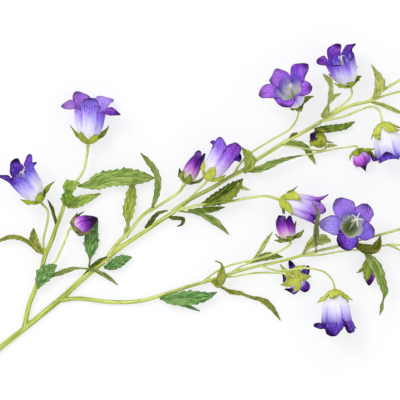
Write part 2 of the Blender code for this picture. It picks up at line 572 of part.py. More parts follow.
def route_length(route):
    return float(np.sum(np.linalg.norm(np.diff([place(p) for p in route], axis=0), axis=1)))


def stem_tubes():
    """Main stem, branches and stalks, each running into the one that it grows from."""
    for start, end, route in STEMS.values():
        points = np.array([place(p) for p in route])
        yield tube(points, np.linspace(start, end, len(points)) * MM, STEM_SIDES)
    for name, (radius, route) in STALKS.items():
        base, axes = bloom_axes(name)
        bend = base - axes[2] * STRAIGHT_END
        count = max(4, round(route_length(route) / STALK_STEP))
        points = smooth_curve([*(place(p) for p in route[:-1]), bend], count)
        yield tube(np.vstack([points, base]), np.full(count + 1, radius * MM), STALK_SIDES)


def fuse(name, solids, colour):
    """One object from many overlapping solids."""
    first, *rest = [add_object(f"{name}_{i}", solid, colour) for i, solid in enumerate(solids)]
    first.name = name
    if not rest:
        return first
    group = bpy.data.collections.new(name + "_parts")
    bpy.context.scene.collection.children.link(group)
    for item in rest:
        group.objects.link(item)
        bpy.context.scene.collection.objects.unlink(item)
    union = first.modifiers.new("union", "BOOLEAN")
    union.operation = "UNION"
    union.operand_type = "COLLECTION"
    union.collection = group
    union.solver = "EXACT"
    evaluated = first.evaluated_get(bpy.context.evaluated_depsgraph_get())
    mesh = bpy.data.meshes.new_from_object(evaluated)
    first.modifiers.clear()
    first.data = mesh
    for item in rest:
        bpy.data.objects.remove(item)
    bpy.data.collections.remove(group)
    return first


def build():
    for item in list(bpy.data.objects):
        bpy.data.objects.remove(item)
    rng = random.Random(7)
    small = [leaf(*values, SMALL_LEAF_STATIONS) for values in SMALL_LEAVES.values()]
    fuse("stem", [*stem_tubes(), *small], "stem")
    for name, (route, widths, fold, roll, teeth) in BIG_LEAVES.items():
        stations = 2 * round(route_length(route) / STATION_SPACING) + 1
        solids = [leaf(route, widths, fold, roll, teeth, stations)]
        if name == "leaf_13":
            solids.append(leaf(*SIDE_LEAFLET, SMALL_LEAF_STATIONS))
        fuse(name, solids, "leaf")
    for name in STALKS:
        add_object("calyx_" + name, calyx(name, rng), "calyx")
    for name in BLOOMS:
        add_object("corolla_" + name, corolla(name), "petal")
        add_object("pistil_" + name, pistil(name), "pistil")
    for name in BUDS:
        add_object("bud_" + name, bud(name), "bud")


build()
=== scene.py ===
"""Looks of the cut campanula stem: fine petals, leaves, sepals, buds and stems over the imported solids.

Plan places are pixels of the 400 x 400 photograph, as (across, down, height above the table in mm).
"""

import math

import bpy
import numpy as np
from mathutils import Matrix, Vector, kdtree


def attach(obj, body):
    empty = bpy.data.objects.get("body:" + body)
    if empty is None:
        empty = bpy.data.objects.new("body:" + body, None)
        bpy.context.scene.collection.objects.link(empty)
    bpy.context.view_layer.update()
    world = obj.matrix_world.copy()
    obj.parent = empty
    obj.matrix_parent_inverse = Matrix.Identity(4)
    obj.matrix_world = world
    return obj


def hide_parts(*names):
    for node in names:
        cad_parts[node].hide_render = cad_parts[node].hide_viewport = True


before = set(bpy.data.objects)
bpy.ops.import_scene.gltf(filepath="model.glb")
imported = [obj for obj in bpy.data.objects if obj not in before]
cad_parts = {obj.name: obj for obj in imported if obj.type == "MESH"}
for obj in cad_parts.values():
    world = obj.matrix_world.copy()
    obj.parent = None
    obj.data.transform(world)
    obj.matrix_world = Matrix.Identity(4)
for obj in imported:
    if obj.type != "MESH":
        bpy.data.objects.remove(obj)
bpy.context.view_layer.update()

# The photograph: metres in a pixel at the table, height of the eye, middle pixel, and its place
MM = 0.001
PIXEL = 0.8 * MM
EYE_HEIGHT = 2.2
FRAME_MIDDLE = 200
PLAN_CENTRE = (-27.35 * MM, -33.3 * MM)
FRAME_WIDTH = 400 * PIXEL
SENSOR = 36

# A bloom has five petals, each two sectors wide
PETALS = 5
SECTOR = math.radians(36)

# Thicknesses, the least height above the table, and from how far above it things are pressed flat
PETAL = 0.45 * MM
LEAF = 0.55 * MM
SEPAL = 0.6 * MM
FLOOR_CLEAR = 0.05 * MM
SETTLE_DEPTH = 2 * MM

# Petals: the tube's outline in mm, and how lobes leave it
LOBE_ROUNDNESS = 1.8
BELL_START = 3.2 * MM
BELL = ((0, 0), (1.1, 3.8), (4.8, 7), (12, 10.2), (24, 11.8))
BUD_START = 3 * MM
TUBE_WARMTH_SHARE = 0.4
SEAM_REACH = 0.35

# Calyxes: length and stand-off of the sepals, and half their width, all in mm
CALYX_OFFSET = 1.5 * MM
CUP_SHARE = 0.19
SEPAL_FACING = 0.65
BLOOM_SEPALS = (10.5, 4)
BLOOM_SEPAL_HALF = 2.3
BUD_SEPAL_HALF = 1.84
SEED = 7

# Stems: how stalks enter their calyxes, the radius and height of the cut end in mm, and the skin
STRAIGHT_END = 1.2 * MM
INTO_CUP = 2.2 * MM
STEM_RADIUS = 2.4
STEM_REST = 2.4
STEM_SIDES = 12
STEM_VOXEL = 0.52 * MM
STEM_PALENESS = (0.7, 0.7)
STALK_PALENESS = (0.85, 1)
STALK_SWELLING = (1.05, 1.25, 1.6)
GRAIN_STEP = 1 * MM
GRAIN_SHIFT = 37 * MM

# Veins: pairs on a leaf, their fine net, and lines across a petal and round a bud
SIDE_VEINS = 9
VEIN_NET_SCALE = 520
LOBE_VEINS = 4 * math.pi
BUD_VEINS = 36 * math.pi

# Stage and light; a lamp's place, size and power
TABLE_HALF = 3
TABLE_COLOURS = ((0.235, 0.235, 0.24, 1), (0.25, 0.25, 0.255, 1))
TABLE_GLOW = (0.985, 0.985, 1, 1)
TABLE_GLOW_STRENGTH = 0.69
SKY_STRENGTH = 0.95
LAMPS = {"key": ((-0.7, 0.8, 1.6), 0.8, 16), "fill": ((1.1, -0.5, 1.3), 1.2, 3)}

# Stems: radius in mm at the start and at the end, and the route
STEMS = {
    "main": (STEM_RADIUS, STEM_RADIUS, [(-112, 438.5, STEM_REST), (-56, 393.5, STEM_REST),
        (0, 348, STEM_REST), (60, 299.5, STEM_REST), (80, 281, 3.5), (96, 267.5, 4.5), (109, 258, 5)]),
    "left": (2.1, 1.7, [(24, 328, 2.2), (29, 305, 3.5), (35, 290, 5), (41, 272, 6.5), (45, 256, 7.5),
        (52, 240, 8.5), (57, 225, 9), (63, 209, 9.5), (66, 200, 10)]),
    "lower": (1.9, 1.2, [(57, 301, 2.2), (80, 298.5, 2.8), (110, 302, 3), (140, 301, 3.5),
        (170, 292.5, 4.5), (190, 286, 5.5), (208, 281, 6.5), (229, 274, 8), (250, 268, 9), (275, 262.5, 9),
        (302, 255.5, 9)]),
    "upper": (1.9, 1.5, [(105, 260.5, 5), (120, 248, 5.5), (140, 234.5, 6), (160, 221, 6.5), (175, 211, 7),
        (190, 199.5, 7.5), (210, 189, 8), (230, 177, 8.5), (242, 171, 9), (256, 160, 9), (270, 151.5, 9),
        (285, 142, 9.5), (300, 134, 10), (317, 124, 10), (330, 116, 10), (350, 106, 10), (371, 101, 10)]),
    "upper_end": (1.3, 1.1, [(368, 101.5, 10), (385, 89, 10.5), (400, 80, 11), (424, 66, 12)]),
    "upper_fork": (1.1, 0.9, [(370, 101.5, 10), (385, 95.5, 10.5), (400, 91.5, 11), (416, 88, 11)]),
    "lower_end": (1.3, 1.1, [(298, 256.5, 9), (320, 250.5, 6), (337, 246.5, 4), (355, 241, 4),
        (370, 237.5, 5), (390, 232, 8), (424, 223, 12)]),
    "lower_fork": (1.1, 0.9, [(350, 242.5, 4), (366, 245, 6), (380, 246, 8), (392, 244.5, 9),
        (410, 246, 10)]),
    "lower_twig": (0.9, 0.8, [(388, 244.9, 9), (400, 250, 9.5), (411, 257, 9)]),
    "upper_left": (1.9, 1.45, [(105, 261, 5), (118, 243, 6.5), (130, 231, 7.5), (141, 217, 7.7),
        (152, 208, 7.7)]),
    "leaf_twig": (0.9, 0.8, [(230, 273.5, 8), (240, 267, 10), (252, 262, 11)]),
}
# Stalks: radius in mm, and the route up to the base of the bloom or bud
STALKS = {
    "f1": (1.15, [(66, 202, 10), (75, 184, 10.2), (83, 172, 10.7), (86.5, 158, 12), (88, 146, 13.2)]),
    "f2": (1, [(45, 257, 7.5), (43.5, 240, 11), (47.5, 222, 15), (48, 211, 18), (42, 203.5, 19)]),
    "f5": (0.95, [(171, 211, 7), (190, 197.5, 12), (200, 188, 17), (206, 182, 20)]),
    "f6": (0.95, [(232, 176, 8.5), (247, 156, 8.5), (270, 141, 7.5), (288, 130.5, 6), (297, 119, 5),
        (298.5, 106.5, 9)]),
    "f7": (0.9, [(320, 122, 10), (335, 110, 10), (347, 101.5, 11), (352, 94, 13), (351, 88, 15)]),
    "f8": (0.95, [(322, 121.5, 10), (345, 116, 11), (362, 109, 14), (371, 106.5, 19), (378.5, 109.5, 23.5),
        (382, 120, 25)]),
    "f11": (1.15, [(176, 211, 7.2), (200, 205, 10), (225, 202.5, 13), (250, 197.5, 15), (265, 196, 16),
        (277.5, 199, 16)]),
    "f12": (0.95, [(337, 246.5, 4), (343, 241, 3), (349, 234, 3.5), (350, 229, 8)]),
    "f14": (0.9, [(222, 276.5, 7.5), (235, 276.5, 11), (250, 273.5, 16), (270, 272.5, 21.5),
        (284, 273.5, 24), (293, 276, 19.5)]),
    "f15": (0.9, [(260, 265.5, 9), (272, 269.5, 14), (282, 271, 21), (292, 269.5, 27), (305, 268, 28.5),
        (322, 271, 27), (331, 278, 23), (334.5, 287, 18.6)]),
    "b3": (1, [(41.5, 271, 6.5), (54, 263, 9), (61, 250, 12), (66, 238, 14), (71, 228.5, 14)]),
    "b4": (1.3, [(105, 261, 5), (118, 243, 6.5), (130, 231, 7.5), (141, 217, 7.7), (160, 205, 7.6),
        (178, 193, 7.6), (184, 184.5, 7.6)]),
    "b9": (0.75, [(244, 171, 9), (262, 165.5, 8), (285, 159, 7.5), (312, 153.8, 8), (335, 149, 10),
        (346, 147.4, 10), (351.5, 146.4, 10), (356.8, 147, 9)]),
    "b10": (0.8, [(281, 145, 9.5), (295, 146.5, 10), (310, 149.5, 10), (320.5, 150.5, 9.5),
        (326.5, 145.8, 12)]),
    "b13": (0.95, [(201, 283, 6.3), (218, 270.5, 9), (235, 264, 11), (258, 258.5, 12), (278, 252, 12),
        (290, 243, 12)]),
    "b16": (0.8, [(300, 256, 9), (320, 255, 7), (340, 251.5, 6), (356, 250, 8), (368, 250, 8),
        (371, 256, 8)]),
    "e1": (0.9, [(410, 74, 11.4), (418, 69.5, 11.8), (425, 66, 12)]),
    "e2": (0.9, [(410, 226.5, 10.3), (418, 224.5, 11.2), (425, 223, 12)]),
}
# How pale a stem is at its start and its end, from 0 to 1
PALENESS = {"main": (0, 0.1), "upper_left": (0.2, 0.5), "left": (0, 0.1), "lower": (0, 0.8),
            "upper": (0.1, 0.7), "upper_fork": (0.5, 0.5), "lower_twig": (0.4, 0.4), "f2": (0.3, 0.7),
            "f5": (0.5, 0.8), "b10": (0.4, 0.8), "f8": (1, 1)}
# Open blooms: target of the axis, rise, roll, size, then for each lobe the place of its tip, its
# width, how far it runs straight on before it bends, its twist in degrees, and its tints: how
# magenta it is, how dark, and how far its colour runs down the tube
BLOOMS = {
    "f1": ((91, 105), 8, 18, 1.03, (((60.7, 106.2, 23), 0.6, 0.4, 48, (1, -0.5, 0)),
        ((89.5, 97.8, 36), 1.05, 0.5, 0, (0.15, -0.25, 0.02)),
        ((120.8, 114.8, 22), 0.62, 0.1, -32, (0.8, 0.1, 0.2)),
        ((114, 99.5, 6), 1.25, 0.5, 0, (0.4, -0.9, 0)), ((75.5, 91.5, 6), 1.2, 0.5, 0, (0.9, -0.35, 0)))),
    "f2": ((19, 170.5), 20, -10, 1, (((-3, 174.5, 27), 0.7, 0.4, 0, (0.3, 0.5, 0.12)),
        ((11, 178, 39), 0.6, 0.25, 0, (0.1, 0.2, 0.04)), ((36.8, 162.2, 38), 0.45, 0.6, 40, (0, 0, 0)),
        ((29.5, 153.8, 24), 0.86, 0.5, -8, (0.4, 0.1, 0)), ((16.6, 158.2, 13), 0.7, 0.5, 0, (0.4, 1, 0)))),
    "f5": ((229, 145), 12, -18, 0.97, (((210.3, 142.5, 25), 0.6, 0.6, 20, (0.3, 0.2, -0.04)),
        ((220, 136.8, 37), 1, 0.7, 0, (0.4, -0.05, -0.06)),
        ((237, 143, 35), 1.15, 0.9, 0, (0.95, 0.05, 0.08)),
        ((241.5, 155.5, 22), 0.8, 0.5, -60, (0.35, 1, 0.12)),
        ((229, 147, 12), 0.8, 0.5, 0, (0.3, 0.5, 0)))),
    "f6": ((286, 87), 52, -20, 0.92, (((258.6, 95.5, 28), 1.3, 0.4, 0, (0.85, -0.25, 0)),
        ((282, 106.8, 37), 1.75, 0.4, 0, (0.85, 0.2, 0)),
        ((312.5, 86.8, 38), 1.35, 0.4, 0, (0.85, -0.1, 0)), ((308, 63.8, 31), 1.42, 0.5, 0, (0.6, 0.15, 0)),
        ((269, 80.5, 22), 1.34, 0.4, 0, (0.85, -0.3, 0)))),
    "f7": ((338, 57), 27, -4, 0.98, (((316.4, 60.2, 27), 1.6, 0.3, 8, (0.8, 0.2, 0.18)),
        ((338, 65, 38), 0.6, 0.25, 0, (0.3, 0.4, 0.06)), ((352.5, 57.5, 37), 0.4, 0.5, 0, (0.5, 0.9, 0.05)),
        ((355.8, 43.6, 24), 0.62, 0.35, 8, (0.5, 0.9, 0.14)),
        ((340.8, 44.2, 15), 0.86, 0.35, 0, (0.75, 0.25, 0.14)))),
    "f8": ((392, 157), -3, 36, 1, (((414, 155, 34), 1, 0.5, 0, (0, 0.1, -0.05)),
        ((386, 151.5, 43), 1.1, 1, 0, (0, 0.2, -0.08)), ((370, 153.8, 24), 0.7, 0.7, -10, (0.1, 1, -0.05)),
        ((383, 160.5, 5), 1, 0.5, 0, (0, 0.3, 0)), ((412, 156, 11), 1, 0.5, 0, (0, 0.2, 0)))),
    "f11": ((321, 212), -3, 6, 0.96, (((328.5, 194.3, 17), 0.75, 0.5, 0, (0.9, -0.15, 0)),
        ((326, 211.5, 27), 1, 0.5, 0, (0.8, -0.35, 0)),
        ((314.8, 224.5, 19), 0.9, 0.5, -12, (0.9, 0.05, 0.06)), ((317, 214, 3.5), 0.9, 0.5, 0, (0.7, 0, 0)),
        ((321, 201, 4), 0.9, 0.5, 0, (0.6, -0.1, 0)))),
    "f12": ((350.5, 223.3), 83, 10, 0.92, (((318.3, 223.3, 37), 1.35, 0.3, 0, (0.15, -0.7, 0.03)),
        ((338.2, 245.6, 36), 1.72, 0.4, 0, (0.4, 0.4, 0.03)),
        ((374.8, 229.5, 36), 1.4, 0.3, 0, (0.2, -0.22, 0.03)),
        ((367.3, 203.6, 35), 1.5, 0.3, 0, (0.5, -0.32, 0.03)),
        ((335.8, 198.8, 36), 1.65, 0.3, 0, (0.3, -0.42, 0.02)))),
    "f14": ((299, 283), -75, 0, 0.72, (((308.8, 265.5, 1.5), 0.75, 0.4, 0, (0.4, 0.8, 0)),
        ((305.8, 292.3, 1.5), 1, 0.5, 0, (0.8, 0.6, 0)), ((284.5, 289.5, 1.5), 0.85, 0.4, 0, (0.3, 1, 0)),
        ((280, 270, 1.5), 0.4, 0.4, 0, (0.4, 1, 0)), ((289.5, 259.8, 1.5), 0.6, 0.4, 0, (0.4, 0.7, 0)))),
    "f15": ((337.6, 325), 0, 32, 0.98, (((345.6, 328.8, 30), 1.05, 0.45, -28, (0.5, 0.85, 0)),
        ((326.6, 334.3, 31), 0.95, 0.4, 0, (0.25, 0.9, 0)), ((313.3, 325, 20), 0.6, 0.4, -40, (0.3, 1, 0)),
        ((327, 329, 2), 1, 0.5, 0, (0.3, 0.9, 0)), ((352, 328, 6), 1, 0.5, 0, (0.3, 0.9, 0)))),
}
# Tubes that are slimmer than the rest, petals that are more pointed or rounder, and how much of
# the magenta of its petals a tube shows
GIRTH = {"f12": 0.94, "f5": 0.87, "f11": 0.84, "f2": 0.93, "f14": 0.84}
ROUNDNESS = {"f11": 1.25, "f6": 1.55, "f7": 1.15, "b4": 1.4, "f14": 2.2, "f15": 2.3}
TUBE_WARMTH = {"f5": 1, "f11": 0.65, "f1": 0, "f7": 0.5}
# Buds that have begun to open are built as narrow bells: target, rise, roll, profile, lobes
OPENING = {
    "b4": ((201, 153), 5, 0, ((0, 0), (0.8, 3.4), (4, 5.6), (11, 6), (18.5, 4.7)),
        (((201.5, 154, 9), 1, 0.6, 0, (0.8, 0.5, 0)), ((199.2, 150.3, 14), 1.25, 0.7, 0, (0.8, 0.4, 0)),
        ((205.3, 153.5, 11), 1.1, 0.5, 0, (0.6, 1, 0)), ((203, 155, 6), 1.1, 0.5, 0, (0.6, 1, 0)),
        ((199, 152, 5), 1.1, 0.5, 0, (0.6, 0.6, 0)))),
    "b13": ((283, 217), 5, 0, ((0, 0), (0.8, 3.6), (4, 6.2), (10, 6.9), (15, 6.3)),
        (((276.8, 219.3, 12), 1, 0.6, 0, (0.8, 0.5, 0)), ((279.3, 216.6, 18), 1, 0.6, 0, (0.7, 0.4, 0)),
        ((288.3, 217.8, 17), 1.1, 0.6, 0, (0.6, 0.9, 0.1)), ((288.5, 219.5, 9), 1.1, 0.6, 0, (0.6, 0.8, 0)),
        ((283.5, 217.8, 7), 1.1, 0.6, 0, (0.6, 1, 0)))),
}
# Outlines of closed buds: shares of the length, and of the radius there
SPINDLE = ((0, 0), (0.05, 0.5), (0.25, 0.88), (0.5, 1), (0.75, 0.78), (0.92, 0.36), (1, 0))
LANTERN = ((0, 0), (0.04, 0.45), (0.15, 0.74), (0.35, 0.96), (0.5, 1), (0.64, 0.8), (0.74, 0.36), (1, 0))
GLOBE = ((0, 0), (0.03, 0.5), (0.12, 0.86), (0.35, 1), (0.6, 0.86), (0.82, 0.52), (0.95, 0.22), (1, 0))
# Closed buds: target, rise, length, radius, outline, twist in degrees
BUDS = {
    "b3": ((97.5, 218.5), 0, 20, 6.7, GLOBE, 80),
    "b9": ((365.5, 171), 0, 18, 7.2, LANTERN, 20),
    "b10": ((309.8, 133.8), 18, 14.2, 4.6, SPINDLE, 60),
    "b16": ((369, 286), 0, 21, 4.6, SPINDLE, 60),
    "e1": ((441, 58), 3, 15, 4.8, SPINDLE, 60),
    "e2": ((441, 218), 3, 15, 4.8, SPINDLE, 60),
}
# Sepals: for each of the five, the place of its tip, half its width in mm and how far it runs on
# before it bends; None leaves it to the general rule
SEPALS = {
    "f1": (((80.5, 131.8, 23.5), 3, 0.6), ((98.8, 134.8, 23.5), 2.8, 0.6),
        ((108.9, 125.5, 13), 1.9, 0.7), None, ((70, 124.8, 13), 1.2, 0.4)),
    "f2": (((20.3, 199.3, 22), 2.2, 0.5), ((42.3, 191.8, 32), 3.2, 0.6),
        ((54.8, 181.3, 22), 1.8, 0.6), None, ((28, 199.5, 14), 2.2, 0.5)),
    "f5": (((204.3, 159.3, 24), 2, 0.5), ((217, 162.8, 31), 3.4, 0.6),
        ((225.5, 175, 22), 2.6, 0.5), None, None),
    "f6": (((290.5, 107, 15), 1.5, 0.5), ((296, 111, 14), 2.4, 0.5),
        ((314, 96.5, 20), 1.8, 0.6), None, None),
    "f7": (((333.5, 83, 20), 1.4, 0.5), ((346, 84, 27), 2.2, 0.5), ((361.5, 76.3, 22), 1.8, 0.6),
        ((358.6, 66, 10), 1.6, 0.5), None),
    "f8": (((400, 130.5, 36), 3.4, 0.5), ((380, 140, 36), 3.4, 0.6),
        ((371, 140, 22), 1.2, 0.4), None, None),
    "f11": (((300.5, 201, 29), 3.8, 0.6), ((292.5, 215.7, 23), 2.8, 0.6),
        ((284.3, 214.5, 8), 1.4, 0.5), None, ((298, 186, 14), 1.4, 0.4)),
    "f14": (((311.3, 276, 5), 2.6, 0.5), ((292, 292.6, 5), 2.8, 0.5), ((280.5, 284.5, 5), 2.6, 0.5),
        ((280, 264, 5), 2.4, 0.5), ((305.5, 265.5, 8), 2.8, 0.5)),
    "f15": (((352.7, 299.8, 22), 1.5, 0.7), ((334.5, 297, 30), 3.4, 0.6),
        ((317, 302.6, 20), 1.7, 0.7), None, None),
    "b3": (((78, 212.2, 11), 2, 0.3), ((82, 231.5, 22), 2.6, 0.5), ((94.8, 231, 16), 3, 0.3),
        ((69.5, 221.5, 8), 1.6, 0.3), ((84.5, 211.2, 8), 1.8, 0.4)),
    "b4": (((184.5, 170.5, 15), 2, 0.5), ((190.5, 174, 17), 2.6, 0.5), ((205, 171.2, 9), 1, 0.7), None,
        ((179.3, 168, 8), 2.6, 0.4)),
    "b9": (((376.3, 148.3, 12), 1.4, 0.5), ((361.8, 150, 17), 3.2, 0.5), ((350, 160.9, 9), 0.8, 0.5),
        ((356.5, 168.9, 2), 1.3, 0.5), ((378, 161.8, 10), 1.8, 0.6)),
    "b10": (((312, 142, 13), 3.2, 0.4), ((314.5, 137.5, 18), 3.6, 0.5), ((330, 132.5, 14), 3.2, 0.5),
        ((319.8, 130.3, 10), 1.2, 0.6), ((334.8, 143.3, 10), 2.2, 0.4)),
    "b13": (((274, 240, 14), 1.7, 0.6), ((287, 236.5, 20), 2.6, 0.5), ((304, 229.5, 12), 2.2, 0.6),
        ((296.3, 220.3, 7), 2.2, 0.6), None),
    "b16": (((372.5, 271.5, 13), 3.2, 0.5), ((366, 281.5, 13), 3.8, 0.6), ((356.3, 272.7, 8), 1.3, 0.7),
        ((364, 279, 5), 2.8, 0.5), ((376, 274, 6), 2.2, 0.5)),
}
# How far a calyx is turned against its petals, in degrees
CALYX_TURN = {"f15": -36}
# Buds: length of the sepals and how far they stand off, in mm
BUD_SEPALS = {
    "b3": (5.5, 1.5), "b4": (7.5, 2), "b9": (6, 2.5), "b10": (7, 4), "b13": (7, 3),
    "b16": (13, 0.8), "e1": (6, 1.5), "e2": (6, 1.5),
}
# How far up the petals the green cup reaches, and which green it is, where not as usual
CUP_REACH = {"f15": 0.22, "b3": 0.09, "b9": 0.17, "b4": 0.18, "b10": 0.56, "b13": 0.16, "b16": 0.3,
             "f14": 0.34}
CALYX_TINTS = {"b3": "dark", "b4": "leafy", "f14": "bright", "f5": "bright", "f8": "bright",
               "f11": "bright", "b10": "split", "b16": "leafy", "f15": "bright", "b13": "leafy"}
# Where the star at the end of the style lies, and the length and the radius of its arms in mm
PISTILS = {"f12": ((356.5, 219, 37), 5.6, 0.5), "f2": ((22.8, 172.3, 31), 3.8, 0.36),
           "f6": ((290.5, 86, 31), 3.1, 0.27), "f7": ((341, 57.5, 28), 3.4, 0.27)}
# Leaves: route, widths in mm along it, fold and roll in degrees, teeth on a side, colour
LEAVES = {
    "leaf_01": ([(77.8, 186.2, 10.8), (90, 184.5, 9.5), (105, 179.5, 9.5), (125, 177, 10.5),
        (142, 177.5, 10.5), (155, 178, 11)], (1.5, 6, 12.5, 13, 13, 14, 12, 8, 0.6), 12, 5, 12, "mid"),
    "leaf_02": ([(67.6, 207.6, 9.2), (75, 203, 5.5), (86, 199, 4.5), (101, 193.5, 4)],
        (1.5, 8, 8.5, 7, 4, 0.6), 15, 0, 7, "spring"),
    "leaf_03": ([(125.5, 238, 7.6), (127.5, 229.5, 8), (128, 219, 7), (129, 209, 6.5), (130.5, 200, 6),
        (132, 190, 5), (133, 182, 4.5)], (2.5, 5.5, 2.4, 7, 9.5, 9, 8.5, 6, 0.6), 14, 0, 8, "lime"),
    "leaf_04": ([(152.3, 207.6, 9.6), (156.5, 195, 15.5), (158, 180, 19), (154, 169, 20), (147, 160, 20),
        (140.5, 153, 19)], (1.5, 4, 4.8, 5, 4.5, 4, 0.6), 10, 30, 8, "green"),
    "leaf_05": ([(89, 267, 5), (90, 259, 4.5), (91, 248, 4), (92, 237, 3.5), (95, 228, 3.2), (98, 220, 3)],
        (1.5, 1.8, 8, 12, 10, 5, 0.6), 10, 0, 7, "blue"),
    "leaf_06": ([(38.3, 289, 8.5), (40.5, 281, 9.5), (45, 273.5, 9.6), (51, 268.5, 9.6), (57, 265, 9.3)],
        (0.6, 7, 11.5, 12, 8, 0.8), 5, 4, 5, "blue"),
    "leaf_07": ([(104, 267.6, 4.6), (112, 265.5, 6), (122, 260, 5), (132, 257, 4)],
        (2, 7, 9.5, 7, 0.6), 14, 0, 6, "blue"),
    "leaf_08": ([(160, 298.7, 5.9), (178, 299, 8), (196, 297.5, 9), (208, 296, 8), (217, 292, 7)],
        (1.5, 8, 11, 12, 10, 6, 0.6), 14, 0, 8, "blue"),
    "leaf_09": ([(214.5, 283.2, 7.6), (230, 291.5, 8), (240, 293, 7), (250, 297, 5.5), (262, 300, 4),
        (272, 308, 2.5), (280.5, 320.5, 2)], (1.6, 2.2, 4.2, 2.2, 3.2, 4.8, 3.5, 0.6), 8, 10, 9, "olive"),
    "leaf_10": ([(373, 98, 12.3), (377.5, 92, 13.5), (380, 85, 14.5), (378, 76, 15), (374.5, 69.5, 14.5),
        (371, 64.5, 13)], (1.6, 6.5, 8.5, 6.5, 3, 0.6), 15, 5, 6, "sunny"),
    "leaf_11": ([(314.3, 129.4, 8.6), (325, 129, 6.5), (336, 128, 5.5), (346, 126, 5), (355, 121.5, 4.5)],
        (2, 5, 6, 5.5, 4.5, 0.6), 12, 0, 8, "dark"),
    "leaf_12": ([(364.4, 252.6, 10.6), (371, 260, 17), (377.5, 269, 19), (381, 280, 18), (385, 292, 15),
        (382.5, 302, 14), (381.5, 309, 13), (379.8, 315, 12)],
        (1.2, 5, 8, 8.5, 7.5, 6.5, 5, 1.2, 3, 0.6), 14, 10, 8, "green"),
    "leaf_13": ([(322.6, 117.7, 12.1), (327, 110, 15), (328.5, 103, 16), (331, 93, 16), (330, 82, 16),
        (323, 74, 15)], (3.5, 5, 1.6, 4.3, 3.4, 4.6, 0.8), 10, 5, 6, "sunny"),
}
SIDE_LEAFLET = ([(329.5, 103, 16), (334.5, 96.5, 16.5), (341, 93.5, 15)], (1.5, 3, 2.6, 0.6), 8, 0, 2,
                "sunny")
